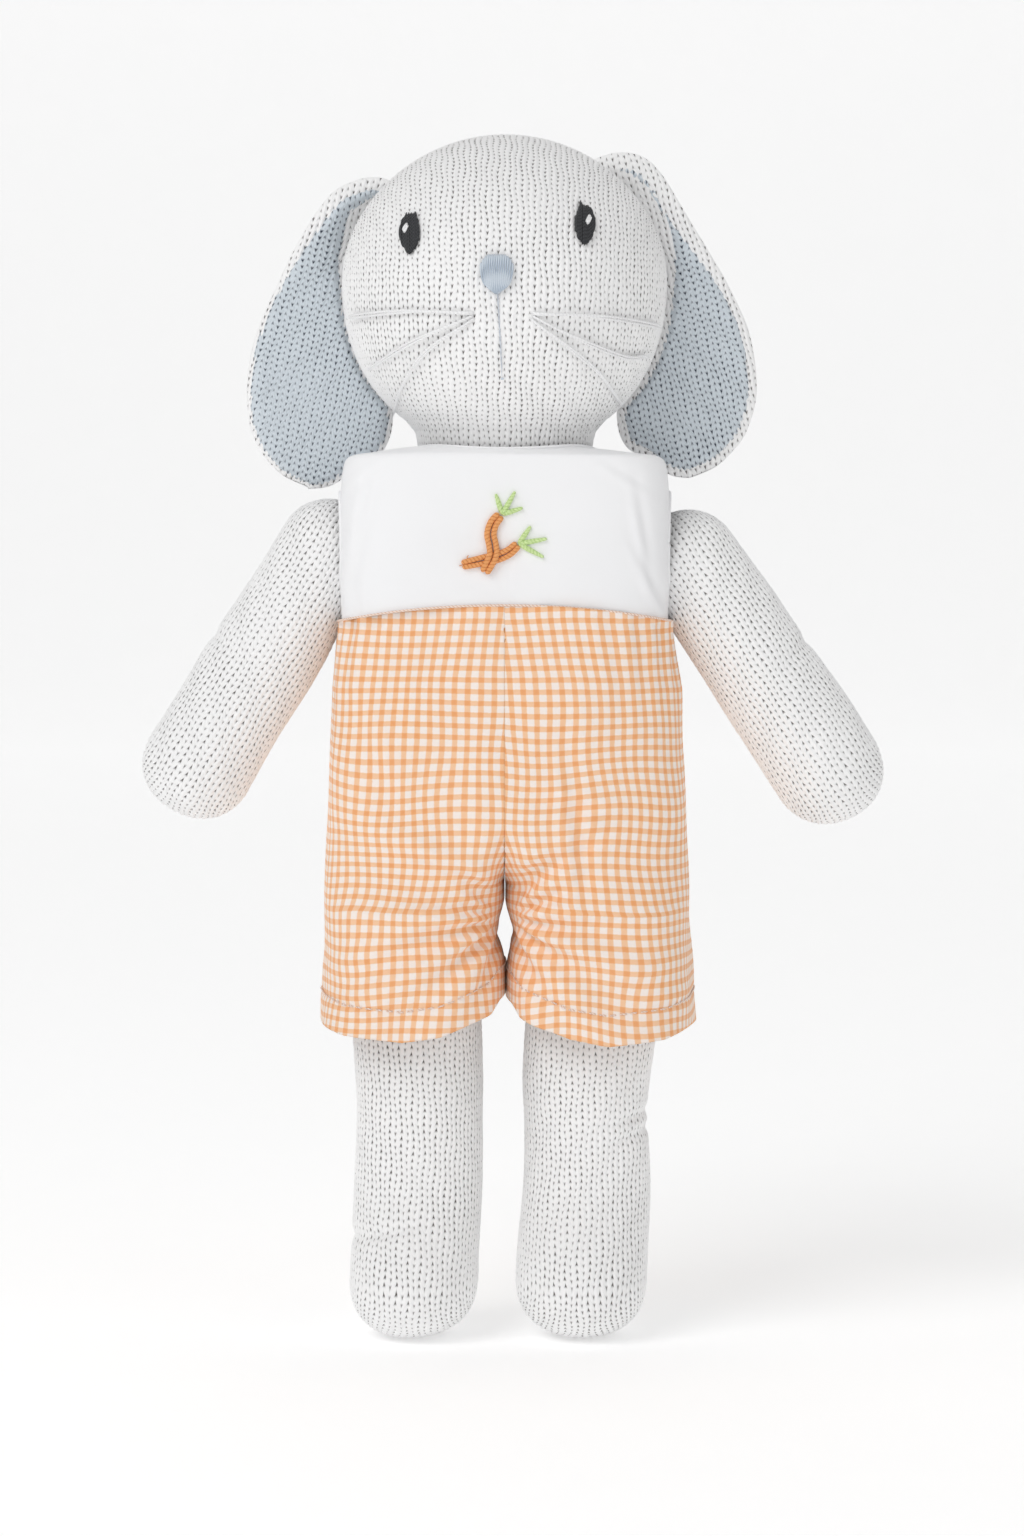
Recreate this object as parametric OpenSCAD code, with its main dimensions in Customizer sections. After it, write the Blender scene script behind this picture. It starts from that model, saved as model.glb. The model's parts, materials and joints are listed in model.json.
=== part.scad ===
// Knitted rabbit doll in a cotton romper. It stands on z = 0 and faces -Y.
// Left and right are the doll's own, so its left side is at +X.

/* [Head] */
// Half width of the head at its widest
head_r = 47.8; // [46.5:0.1:48.2]
// Height of the widest part of the head
head_z = 313; // [312:0.5:314]
// Height of the crown above the floor
crown_z = 356; // [354:0.5:358]
// Radius of the neck's rounded end
neck_r = 26; // [25:0.1:26.2]
// Height of the point that the neck bends about
neck_z = 259; // [258.5:0.1:259.5]
// Thickness of the knitted fabric
knit_t = 1.6; // [1:0.1:2]

/* [Ears] */
// Extra height of the left ear over the right one
ear_rise = 5; // [2:0.5:6]
// Front of the ears, behind the middle of the head
ear_front_y = 9.5; // [9:0.5:12]
// Thickness of an ear
ear_t = 5; // [4:0.1:6]

/* [Body and romper] */
// Half width of the knitted torso
torso_w = 45; // [43:0.5:46]
// Half depth of the knitted torso
torso_d = 30.5; // [29:0.5:31]
// Half width of the bodice
bodice_w = 48.3; // [47:0.1:48.4]
// Half depth of the bodice
bodice_d = 33; // [32.5:0.1:33.5]
// Height of the neckline
neckline_z = 265.5; // [264.5:0.1:265.8]
// Height of the waist seam at the sides
waist_z = 207; // [205:0.5:209]
// Half width of the shorts at the waist
waist_w = 49; // [48.5:0.1:49.2]
// Half width of the shorts at the hem
hem_w = 55; // [54:0.5:55.5]
// Half depth of the shorts
shorts_d = 34; // [33.5:0.1:34.2]
// Height of the shorts' hem
hem_z = 89; // [86:0.5:94]

/* [Arms] */
// Distance of each shoulder joint from the middle
shoulder_x = 52; // [51.8:0.1:53]
// Height of the shoulder joints
shoulder_z = 234; // [233:0.5:234.5]
// Radius of the arm's rounded top
shoulder_r = 15; // [14:0.1:15.2]
// Radius of the arm at the hand
hand_r = 16.5; // [15.5:0.1:17]
// Distance from the shoulder joint to the hand's centre
arm_l = 74; // [70:0.5:76]
// Angle between an arm at rest and the vertical
arm_angle = 31; // [30:0.5:33]

/* [Legs] */
// Distance of each leg's axis from the middle
hip_x = 24.5; // [24:0.1:25]
// Height of the hip joints
hip_z = 130; // [128:0.5:131]
// Radius of the leg
leg_r = 19; // [18:0.1:19.3]
// How far the foot reaches forward of the leg
foot_reach = 11; // [6:0.5:13]

/* [Hidden] */

$fn = 64;
big = 400;
gap = 0.3;
stuffing_in = knit_t + 0.2;

// Colours of the yarn, cloth and thread
knit_white = [0.93, 0.93, 0.92];
lining_blue = [0.66, 0.74, 0.81];
cotton_white = [0.98, 0.98, 0.98];
gingham = [0.97, 0.74, 0.5];
carrot_orange = [0.87, 0.5, 0.2];
leaf_green = [0.76, 0.88, 0.55];
eye_black = [0.12, 0.12, 0.13];
fill_white = [0.96, 0.95, 0.93];

// Head: a rounded form, fuller above the middle than an egg
upper_power = 2.15;
lower_power = 2.2;
chin_h = 49.6;
function head_h(up) = up ? crown_z - head_z : chin_h;
function head_p(up) = up ? upper_power : lower_power;
function head_radius(z) =
    let (up = z > head_z, h = head_h(up), p = head_p(up))
    head_r * pow(max(0, 1 - pow(min(1, abs(z - head_z) / h), p)), 1 / p);
// The face's front at a place across and a height
function face_y(x, z) = -sqrt(max(0, pow(head_radius(z), 2) - x * x));
// Half width of the head at a depth and a height
function head_side(y, z) = sqrt(max(0, pow(head_radius(z), 2) - y * y));
// A stretch of the head's outline, between two angles from its widest part
function head_arc(up, inset, from, to, n) = [
    for (i = [0:n])
        let (a = from + (to - from) * i / n, p = head_p(up), h = head_h(up) - inset)
        [(head_r - inset) * pow(cos(a), 2 / p), head_z + (up ? 1 : -1) * h * pow(sin(a), 2 / p)]
];

// The head and its neck are one turned form: the neck ends in a ball about the point it bends at
module head_form(inset) {
    neck_end = 52;
    chin_end = 58;
    ball = [
        for (a = [-90:9:neck_end])
            [(neck_r - inset) * cos(a), neck_z + (neck_r - inset) * sin(a)]
    ];
    neck_part = [for (p = ball) if (p[1] < neck_z + 10) p];
    rotate_extrude()
        polygon(concat(
            neck_part,
            head_arc(false, inset, chin_end, 6, 12),
            head_arc(true, inset, 0, 90, 16)
        ));
}

// A rounded rectangle by formula, half width w and half depth d
function rounded(w, d, p, n) = [
    for (i = [0:n - 1])
        let (a = 360 * i / n)
        [sign(cos(a)) * w * pow(abs(cos(a)), 2 / p), sign(sin(a)) * d * pow(abs(sin(a)), 2 / p)]
];

// The room that an arm needs to swing all round its shoulder, for the left side
ring_r = shoulder_r + 0.75;
socket_r = shoulder_r + 1.5;
module arm_room(clear) {
    lean = tan(arm_angle);
    inner_x = shoulder_r + 1;
    flat_x = inner_x / cos(arm_angle);
    reach = 130;
    outward = 60;
    start = inner_x * sin(arm_angle);
    translate([shoulder_x, 0, shoulder_z])
        rotate([0, 90, 0])
            union() {
                sphere(socket_r + clear);
                rotate_extrude()
                    polygon([
                        [0, outward],
                        [0, start * lean - flat_x - clear],
                        [start, -inner_x * cos(arm_angle) - clear],
                        [reach, reach * lean - flat_x - clear],
                        [reach, reach * lean + outward]
                    ]);
            }
}

// The sockets for the neck, the arms and the legs, made larger by a clearance.
// In front of each hip there is room for the thigh to come up.
hip_room_r = shorts_d + 1.1;
thigh_room = shorts_d + 1.6;
neck_room_r = neck_r + 1.5;
module sockets(clear) {
    translate([0, 0, neck_z])
        sphere(neck_room_r + clear);
    translate([-big / 2, clear - big, hip_z])
        cube([big, big, thigh_room + clear]);
    for (side = [0, 1])
        mirror([side, 0, 0])
            arm_room(0.5 + clear);
    translate([-big / 2, 0, hip_z])
        rotate([0, 90, 0])
            cylinder(r = hip_room_r + clear, h = big);
}

module torso_form(inset) {
    top_z = neckline_z - 3;
    low_z = hip_z + 10;
    shoulder_w = 40;
    shoulder_top = top_z - 6;
    difference() {
        intersection() {
            translate([0, 0, low_z + inset])
                linear_extrude(top_z - low_z - 2 * inset)
                    polygon(rounded(torso_w - inset, torso_d - inset, 3, 48));
            rotate([90, 0, 0])
                linear_extrude(big, center = true)
                    polygon([
                        [-torso_w + inset, low_z], [torso_w - inset, low_z],
                        [torso_w - inset, shoulder_z], [shoulder_w - inset, shoulder_top - inset],
                        [neck_r, top_z - inset], [-neck_r, top_z - inset],
                        [-shoulder_w + inset, shoulder_top - inset], [-torso_w + inset, shoulder_z]
                    ]);
        }
        sockets(inset);
    }
}

// The bodice from its waist seam to the shoulders, before the panels are parted
module bodice_form() {
    side_z = 236;
    edge_w = 45.5;
    edge_low_z = 248;
    edge_z = 260.3;
    hole_r = 29.3;
    difference() {
        intersection() {
            translate([0, 0, waist_z])
                linear_extrude(neckline_z - waist_z)
                    polygon(rounded(bodice_w, bodice_d, 4, 56));
            rotate([90, 0, 0])
                linear_extrude(big, center = true)
                    polygon([
                        [-bodice_w, waist_z], [bodice_w, waist_z], [bodice_w, side_z],
                        [edge_w, edge_low_z], [edge_w, edge_z], [hole_r, neckline_z],
                        [-hole_r, neckline_z], [-edge_w, edge_z], [-edge_w, edge_low_z],
                        [-bodice_w, side_z]
                    ]);
        }
        torso_form(-gap);
        sockets(0);
        translate([0, 0, neckline_z - 8])
            cylinder(r = hole_r, h = 20);
    }
}

module front_half() {
    translate([-big / 2, -big - 0.2, 0])
        cube([big, big, big]);
}

module back_quarter(side) {
    lap = 0.2;
    translate([side > 0 ? lap : -big - lap, lap, 0])
        cube([big, big, big]);
}

// The shorts' side: a slow slope from the hem up to the waist
shorts_low_w = waist_w + 3;
hem_fold = 10;
slope_z = 186;
thigh_z = hip_z + 20;
module shorts_side(inner_x, top_points) {
    rotate([90, 0, 0])
        linear_extrude(big, center = true)
            polygon(concat(
                [[inner_x, hem_z], [hem_w, hem_z]],
                [[shorts_low_w + 1, thigh_z], [shorts_low_w, slope_z]],
                top_points
            ));
}

// The outline that the shorts are cut from at the waist, made larger by an amount
module waist_block(from_z, high, grow) {
    translate([0, 0, from_z])
        intersection() {
            linear_extrude(high)
                polygon(rounded(hem_w + grow, shorts_d + grow, 3.4, 56));
            translate([-waist_w - grow, -big / 2, 0])
                cube([2 * (waist_w + grow), big, high]);
        }
}

module torso_skin() {
    color(knit_white)
        difference() {
            torso_form(0);
            torso_form(knit_t);
        }
}

module torso_stuffing() {
    color(fill_white)
        torso_form(stuffing_in);
}

module bodice_front() {
    color(cotton_white)
        intersection() {
            bodice_form();
            front_half();
        }
}

module bodice_back(side) {
    color(cotton_white)
        intersection() {
            bodice_form();
            back_quarter(side);
        }
}

button_r = 4.6;
button_t = 1.8;
module back_buttons() {
    eye_r = 0.6;
    eye_off = 1.3;
    color(cotton_white)
        for (z = [216, 235, 254])
            translate([0, bodice_d + 0.15, z])
                rotate([-90, 0, 0])
                    difference() {
                        cylinder(r = button_r, h = button_t);
                        translate([0, 0, button_t - 0.5])
                            cylinder(r = button_r - 1.2, h = 1);
                        for (sx = [-1, 1], sy = [-1, 1])
                            translate([sx * eye_off, sy * eye_off, -1])
                                cylinder(r = eye_r, h = 4, $fn = 24);
                    }
}

// A thin cord sewn round the waist over the seam
module waist_piping() {
    high = 0.9;
    color(carrot_orange)
        difference() {
            waist_block(waist_z - high, high, 0.5);
            waist_block(waist_z - 2, 4, 0.15);
        }
}

// The shorts above the hips
module shorts_top(side) {
    color(gingham)
        mirror([side > 0 ? 0 : 1, 0, 0])
            difference() {
                intersection() {
                    translate([0, 0, hip_z])
                        linear_extrude(waist_z - gap - hip_z)
                            polygon(rounded(hem_w, shorts_d, 3.4, 56));
                    shorts_side(0.2, [[waist_w, waist_z], [0.2, waist_z]]);
                }
                torso_form(-gap);
                sockets(0);
            }
}

// One leg of the shorts: a drum round the hip and the open leg below it
leg_inner_x = 0.7;
leg_half_w = (hem_w - leg_inner_x) / 2;
leg_mid_x = leg_inner_x + leg_half_w;
leg_power = 3;
module shorts_leg(side) {
    color(gingham)
        mirror([side > 0 ? 0 : 1, 0, 0])
            difference() {
                intersection() {
                    union() {
                        translate([leg_inner_x, 0, hip_z])
                            rotate([0, 90, 0])
                                cylinder(r = shorts_d, h = hem_w - leg_inner_x);
                        translate([leg_mid_x, 0, hem_z])
                            linear_extrude(hip_z - hem_z)
                                polygon(rounded(leg_half_w, shorts_d, leg_power, 48));
                    }
                    shorts_side(leg_inner_x, [[leg_inner_x, slope_z]]);
                }
                leg_form(-0.5);
            }
}

// The row of thread that holds the hem up, just proud of the cloth and left off between the legs
module hem_thread(side) {
    off = 0.5;
    proud = 0.9;
    clear_x = 2;
    color(cotton_white)
        difference() {
            translate([side * leg_mid_x, 0, hem_z + hem_fold - 1])
                difference() {
                    linear_extrude(0.5)
                        polygon(rounded(leg_half_w + proud, shorts_d + proud, leg_power, 48));
                    translate([0, 0, -1])
                        linear_extrude(3)
                            polygon(rounded(leg_half_w + off, shorts_d + off, leg_power, 48));
                }
            translate([-clear_x, -big / 2, hem_z])
                cube([2 * clear_x, big, 2 * hem_fold]);
        }
}

// A soft roll of thread through a list of points
module roll(points, r) {
    for (i = [0:len(points) - 2])
        hull() {
            translate(points[i])
                sphere(r, $fn = 12);
            translate(points[i + 1])
                sphere(r, $fn = 12);
        }
}

// Embroidery on the chest: places are across and up from the middle of the motif
motif_x = -1;
motif_z = 236;
function chest(list, out) = [for (p = list) [motif_x + p[0], -bodice_d - out, motif_z + p[1]]];

module carrot_upright() {
    line = [[0, 8.5], [-3.6, 2], [-2.6, -3], [-4.8, -8.6]];
    color(carrot_orange)
        for (side = [-0.85, 0.85])
            roll(chest([for (p = line) [p[0] + side, p[1]]], 1.1), 0.8);
}

module carrot_cross() {
    left_line = [[-11, -5.8], [-7.2, -4.9]];
    right_line = [[0.6, -4], [4.6, -0.2]];
    color(carrot_orange)
        for (line = [left_line, right_line], side = [-0.8, 0.8])
            roll(chest([for (p = line) [p[0], p[1] + side]], 1.1), 0.75);
}

module leaf_spray(base, tips) {
    color(leaf_green)
        for (tip = tips)
            roll(chest([base, tip], 0.75), 0.45);
}

module greens_upper() {
    leaf_spray([0.2, 10.2], [[-1.2, 15], [4, 15.6], [6.2, 11]]);
}

module greens_lower() {
    leaf_spray([6, 1.4], [[9, 6.6], [13.6, 2.8], [12.6, -2.8]]);
}

// Gathering thread round the neck's end, between the neck and its socket
module neck_thread() {
    polar = 50;
    run_r = neck_r + 0.75;
    color(cotton_white)
        translate([0, 0, neck_z - run_r * cos(polar)])
            rotate_extrude()
                translate([run_r * sin(polar), 0])
                    circle(0.4, $fn = 24);
}

module head_skin() {
    color(knit_white)
        difference() {
            head_form(0);
            head_form(knit_t);
        }
}

module head_stuffing() {
    color(fill_white)
        head_form(stuffing_in);
}

// A flat pad of stitches that faces out from the face, w by h at a place
module face_pad(x, z, w, h, t, lift) {
    turn = asin(x / head_radius(z));
    tilt = atan(head_radius(z - 0.5) - head_radius(z + 0.5));
    translate([x, face_y(x, z), z])
        rotate([-tilt, 0, turn])
            translate([0, -lift, 0])
                rotate([90, 0, 0])
                    scale([w / 2, h / 2, 1])
                        cylinder(r = 1, h = t);
}

// The face is sewn a little to the doll's right of the middle, with its left eye higher
face_x = -2.2;
eye_w = 5.6;
eye_h = 12.4;
eye_x = 25.8;
eye_z = 328;
eye_rise = 1.5;
module eye(side) {
    color(eye_black)
        face_pad(face_x + side * eye_x, eye_z + side * eye_rise, eye_w, eye_h, 1, 0.2);
}

module glint(side) {
    color(cotton_white)
        face_pad(face_x + side * eye_x - 0.4, eye_z + side * eye_rise + 0.8, 1.8, 3.6, 0.4, 1.3);
}

nose_z = 314.5;
module nose() {
    half_w = 5;
    half_h = 6;
    round_top = [for (a = [0:15:180]) [half_w * cos(a), half_h * (0.6 + 0.4 * sin(a))]];
    round_low = [for (a = [180:15:360]) [half_w * cos(a), half_h * (0.1 + 1.1 * sin(a))]];
    color(lining_blue)
        translate([face_x, face_y(face_x, nose_z) - 0.25, nose_z])
            rotate([90, 0, 0])
                linear_extrude(1.8)
                    polygon(concat(round_top, round_low));
}

// A thread that lies on the face through places given across and up
thread_sides = 8;
function thread_ring(p, along, r) =
    let (
        u = cross(along, [0, 1, 0]) / norm(cross(along, [0, 1, 0])),
        w = cross(u, along / norm(along))
    )
    [for (i = [0:thread_sides - 1]) let (a = 360 * i / thread_sides) p + r * (cos(a) * u + sin(a) * w)];

module face_thread(places, r) {
    lift = r + 0.45;
    n = len(places);
    m = thread_sides;
    line = [
        for (p = places)
            let (k = 1 + lift / head_radius(p[1]))
            [p[0] * k, face_y(p[0], p[1]) * k, p[1]]
    ];
    rings = [
        for (i = [0:n - 1])
            thread_ring(line[i], line[min(i + 1, n - 1)] - line[max(i - 1, 0)], r)
    ];
    first_cap = [for (j = [0:m - 1]) j];
    last_cap = [for (j = [0:m - 1]) n * m - 1 - j];
    sides = [
        for (i = [0:n - 2])
            for (j = [0:m - 1])
                let (a = i * m + j, b = i * m + (j + 1) % m)
                each [[b, a, a + m], [b, a + m, b + m]]
    ];
    polyhedron([for (ring = rings) each ring], concat([first_cap, last_cap], sides));
}

module mouth_stitch() {
    color(lining_blue)
        face_thread([for (i = [0:4]) [face_x + 0.4 + 0.3 * i, 307 - 5.2 * i]], 0.35);
}

module whiskers(side) {
    color(cotton_white) {
        face_thread([for (x = [8:2.5:43]) [face_x + side * x, 302.6]], 0.3);
        face_thread([for (i = [0:8]) [face_x + side * (8 + 3.2 * i), 301 - 1.75 * i]], 0.3);
        face_thread([for (i = [0:8]) [face_x + side * (7.5 + 2.6 * i), 299.5 - 2.5 * i]], 0.3);
    }
}

// An ear's outline: places are across and up, and its inner edge follows the head's side
ear_clear = 0.7;
ear_outer = [
    [39, 342.4], [45.5, 342], [52, 337.5], [59.5, 326], [66.5, 310], [72.8, 294],
    [75.3, 278], [73.8, 265.7], [66.4, 255.4], [58, 252], [53.5, 255], [51.2, 260],
    [48.4, 266.2], [41.4, 268.6], [36, 270.4]
];
function ear_outline(rise) = concat(
    ear_outer,
    [for (z = [276:8:333]) [head_side(ear_front_y, z + rise) + ear_clear, z]]
);
function inward(points, d) =
    let (n = len(points))
    [
        for (i = [0:n - 1])
            let (
                t = points[(i + 1) % n] - points[(i + n - 1) % n],
                u = t / norm(t)
            )
            points[i] + d * [u[1], -u[0]]
    ];

function rise_of(side) = side > 0 ? ear_rise : 0;
module ear_place(side) {
    mirror([side > 0 ? 0 : 1, 0, 0])
        translate([0, ear_front_y + ear_t, rise_of(side)])
            rotate([90, 0, 0])
                children();
}

lining_t = 2;
module ear_back(side) {
    color(knit_white)
        ear_place(side)
            linear_extrude(ear_t - lining_t - 0.1)
                polygon(ear_outline(rise_of(side)));
}

module ear_lining(side) {
    color(lining_blue)
        ear_place(side)
            translate([0, 0, ear_t - lining_t])
                linear_extrude(lining_t)
                    polygon(inward(ear_outline(rise_of(side)), 2));
}

// An arm hangs along its own axis from the shoulder joint
module arm_place(side) {
    mirror([side > 0 ? 0 : 1, 0, 0])
        translate([shoulder_x, 0, shoulder_z])
            rotate([0, 180 - arm_angle, 0])
                children();
}

module arm_form(inset) {
    wide_at = 20;
    arm_r = shoulder_r + 1;
    union() {
        sphere(shoulder_r - inset);
        rotate_extrude()
            polygon(concat(
                [[0, 0], [shoulder_r - inset, 0], [arm_r - inset, wide_at]],
                [for (a = [0:9:90]) [(hand_r - inset) * cos(a), arm_l + (hand_r - inset) * sin(a)]]
            ));
    }
}

module arm_skin(side) {
    color(knit_white)
        arm_place(side)
            difference() {
                arm_form(0);
                arm_form(knit_t);
            }
}

module arm_stuffing(side) {
    color(fill_white)
        arm_place(side)
            arm_form(stuffing_in);
}

// Sewing thread round the top of the arm, between it and its socket
module shoulder_thread(side) {
    polar = 30;
    color(cotton_white)
        mirror([side > 0 ? 0 : 1, 0, 0])
            translate([shoulder_x - ring_r * cos(polar), 0, shoulder_z])
                rotate([0, 90, 0])
                    rotate_extrude()
                        translate([ring_r * sin(polar), 0])
                            circle(0.35, $fn = 24);
}

// A leg is a stuffed tube with round ends, and its foot reaches a little forward
module leg_form(inset) {
    r = leg_r - inset;
    top_r = leg_r - 1 - inset;
    heel_z = leg_r - 2;
    toe_r = leg_r - 1.6 - inset;
    toe_z = leg_r - 3.4;
    toe_back = -5;
    difference() {
        union() {
            translate([hip_x, 0, 0])
                rotate_extrude()
                    polygon(concat(
                        [for (a = [-90:10:0]) [r * cos(a), heel_z + r * sin(a)]],
                        [for (a = [0:10:90]) [top_r * cos(a), hip_z + top_r * sin(a)]]
                    ));
            translate([hip_x, 0, toe_z])
                rotate([90, 0, 0])
                    rotate_extrude()
                        polygon(concat(
                            [[0, toe_back], [toe_r, toe_back]],
                            [for (a = [0:10:90]) [toe_r * cos(a), foot_reach + toe_r * sin(a)]]
                        ));
        }
        translate([-big / 2, -big / 2, inset - big])
            cube([big, big, big]);
    }
}

module leg_skin(side) {
    color(knit_white)
        mirror([side > 0 ? 0 : 1, 0, 0])
            difference() {
                leg_form(0);
                leg_form(knit_t);
            }
}

module leg_stuffing(side) {
    color(fill_white)
        mirror([side > 0 ? 0 : 1, 0, 0])
            leg_form(stuffing_in);
}

torso_skin();
torso_stuffing();
bodice_front();
bodice_back(1);  // bodice_back_left
bodice_back(-1);  // bodice_back_right
back_buttons();
waist_piping();
shorts_top(1);  // shorts_top_left
shorts_top(-1);  // shorts_top_right
carrot_upright();
carrot_cross();
greens_upper();
greens_lower();
neck_thread();
head_skin();
head_stuffing();
eye(1);  // eye_left
eye(-1);  // eye_right
glint(1);  // glint_left
glint(-1);  // glint_right
nose();
mouth_stitch();
whiskers(1);  // whiskers_left
whiskers(-1);  // whiskers_right
ear_back(1);  // ear_back_left
ear_back(-1);  // ear_back_right
ear_lining(1);  // ear_lining_left
ear_lining(-1);  // ear_lining_right
shoulder_thread(1);  // shoulder_thread_left
shoulder_thread(-1);  // shoulder_thread_right
arm_skin(1);  // arm_skin_left
arm_skin(-1);  // arm_skin_right
arm_stuffing(1);  // arm_stuffing_left
arm_stuffing(-1);  // arm_stuffing_right
leg_skin(1);  // leg_skin_left
leg_skin(-1);  // leg_skin_right
leg_stuffing(1);  // leg_stuffing_left
leg_stuffing(-1);  // leg_stuffing_right
shorts_leg(1);  // shorts_leg_left
shorts_leg(-1);  // shorts_leg_right
hem_thread(1);  // hem_thread_left
hem_thread(-1);  // hem_thread_right
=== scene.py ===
import json
import math

import bmesh
import bpy
import numpy as np
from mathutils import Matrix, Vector


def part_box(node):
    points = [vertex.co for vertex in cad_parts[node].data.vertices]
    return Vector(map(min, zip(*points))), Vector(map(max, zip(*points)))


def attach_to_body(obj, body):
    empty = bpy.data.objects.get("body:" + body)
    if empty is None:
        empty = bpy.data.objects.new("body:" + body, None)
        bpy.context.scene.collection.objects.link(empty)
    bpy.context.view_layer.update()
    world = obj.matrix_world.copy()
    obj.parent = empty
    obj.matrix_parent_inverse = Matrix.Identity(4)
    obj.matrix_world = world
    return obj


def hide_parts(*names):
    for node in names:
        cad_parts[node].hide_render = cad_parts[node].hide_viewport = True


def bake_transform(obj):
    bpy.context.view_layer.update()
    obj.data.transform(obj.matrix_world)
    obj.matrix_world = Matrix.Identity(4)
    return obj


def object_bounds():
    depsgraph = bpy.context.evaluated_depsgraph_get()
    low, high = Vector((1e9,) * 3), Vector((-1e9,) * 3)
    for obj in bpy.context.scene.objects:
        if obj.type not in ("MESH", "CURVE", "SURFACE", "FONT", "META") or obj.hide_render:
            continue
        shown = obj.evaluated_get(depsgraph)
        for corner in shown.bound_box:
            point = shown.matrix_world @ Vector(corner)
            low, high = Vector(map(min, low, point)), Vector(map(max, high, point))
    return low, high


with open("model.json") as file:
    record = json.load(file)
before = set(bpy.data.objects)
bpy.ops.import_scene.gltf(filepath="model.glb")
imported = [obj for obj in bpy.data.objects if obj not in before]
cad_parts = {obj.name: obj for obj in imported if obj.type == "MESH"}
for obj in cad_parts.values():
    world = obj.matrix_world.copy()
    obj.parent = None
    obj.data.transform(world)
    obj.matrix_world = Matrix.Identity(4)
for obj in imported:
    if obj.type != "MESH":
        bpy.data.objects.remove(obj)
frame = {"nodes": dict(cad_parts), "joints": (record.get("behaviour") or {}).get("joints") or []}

# A knitted rabbit doll in a cotton romper, in the CAD frame: the doll stands on z = 0 and faces
# -Y, and its own left is at +X. Lengths are in millimetres, except the settings of Blender's own
# nodes and modifiers, which are in metres.
MM = 0.001
cad_low, cad_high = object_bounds()


# ---------------------------------------------------------------- places from the frame
def box_mm(node):
    """Lowest and highest corner of a CAD node."""
    low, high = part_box(node)
    return np.array(low) / MM, np.array(high) / MM


def joint_mm(name):
    """The point that a joint turns about."""
    return np.array(next(j for j in frame["joints"] if j["name"] == name)["pos_m"]) / MM


SIDES = (("left", 1), ("right", -1))
DOLL_HEIGHT = (cad_high.z - cad_low.z) / MM

head_low, head_high = box_mm("head_skin")
HEAD_R = (head_high[0] - head_low[0]) / 2
CROWN_Z = head_high[2] - 0.8
HEAD_Z = head_high[2] - 0.9 * HEAD_R
HEAD_UPPER_POWER = 1.96
HEAD_LOWER_POWER = 2.2
CHIN_H = 1.0375 * HEAD_R
NECK_R = 0.53 * HEAD_R
# How far round its curve the chin goes before the neck starts
CHIN_TURN = math.radians(54)

bodice_low, bodice_high = box_mm("bodice_front")
BODICE_W = bodice_high[0]
BODICE_D = -bodice_low[1]
NECKLINE_Z = bodice_high[2]
WAIST_Z = bodice_low[2]

shorts_low, shorts_high = box_mm("shorts_leg_left")
HEM_W = shorts_high[0]
SHORTS_D = -shorts_low[1]
HEM_Z = shorts_low[2]
HIP = joint_mm("left_leg_swing")
SHOULDER = joint_mm("left_arm_swing")


# ---------------------------------------------------------------- small numeric helpers
def smooth(a, b, x):
    """0 up to a, 1 from b, and a soft step between them."""
    t = np.clip((x - a) / (b - a), 0, 1)
    return t * t * (3 - 2 * t)


def hump(distance, width=1):
    """1 at no distance, falling away softly over a width."""
    return np.exp(-((distance / width) ** 2))


def mix(a, b, t):
    return a + (b - a) * t


def power(x, e):
    """A power that keeps the sign."""
    return np.sign(x) * np.abs(x) ** e


def curve_through(points, n):
    """n points, evenly spaced, on a smooth curve through the given ones."""
    p = np.array(points, float)
    ring = np.vstack([2 * p[0] - p[1], p, 2 * p[-1] - p[-2]])
    t = np.linspace(0, 1, 24, endpoint=False)[:, None]
    parts = []
    for i in range(1, len(ring) - 2):
        a, b, c, d = ring[i - 1:i + 3]
        square, cube = 2 * a - 5 * b + 4 * c - d, 3 * b - a - 3 * c + d
        parts.append(0.5 * (2 * b + (c - a) * t + square * t**2 + cube * t**3))
    line = np.vstack(parts + [ring[-2][None]])
    return even(line, n)


def lengths(line):
    """Distance along a line of points, from its start."""
    return np.concatenate([[0], np.cumsum(np.linalg.norm(np.diff(line, axis=0), axis=1))])


def even(line, n):
    """n evenly spaced points along a line of points."""
    along = lengths(line)
    at = np.linspace(0, along[-1], n)
    return np.stack([np.interp(at, along, line[:, k]) for k in range(line.shape[1])], 1)


def rolling(x, y, z, size, seed):
    """A soft uneven field, about -1 to 1, whose bumps are about size across."""
    rng = np.random.default_rng(seed)
    total = 0
    for _ in range(7):
        d = rng.normal(size=3)
        d = d / np.linalg.norm(d) * rng.uniform(0.6, 1.5) / size
        total = total + np.sin(2 * np.pi * (x * d[0] + y * d[1] + z * d[2]) / 2 + rng.uniform(0, 6.3))
    return total / 3.2


def xyz(points):
    return np.moveaxis(points, -1, 0)


def read(items, name):
    """Vectors from a mesh, one row for each."""
    values = np.zeros(len(items) * 3)
    items.foreach_get(name, values)
    return values.reshape(-1, 3)


def grid_faces(rows, cols):
    i = np.arange(rows - 1)[:, None] * cols + np.arange(cols - 1)[None, :]
    return np.stack([i, i + 1, i + cols + 1, i + cols], -1).reshape(-1, 4)


def patch(points, uv, lift=None, keep=None):
    """One grid of a piece: points, pattern coordinates, height above the surface, faces kept."""
    lift = np.zeros(points.shape[:2]) if lift is None else lift
    return {"points": points, "uv": uv, "lift": lift, "keep": keep}


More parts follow.
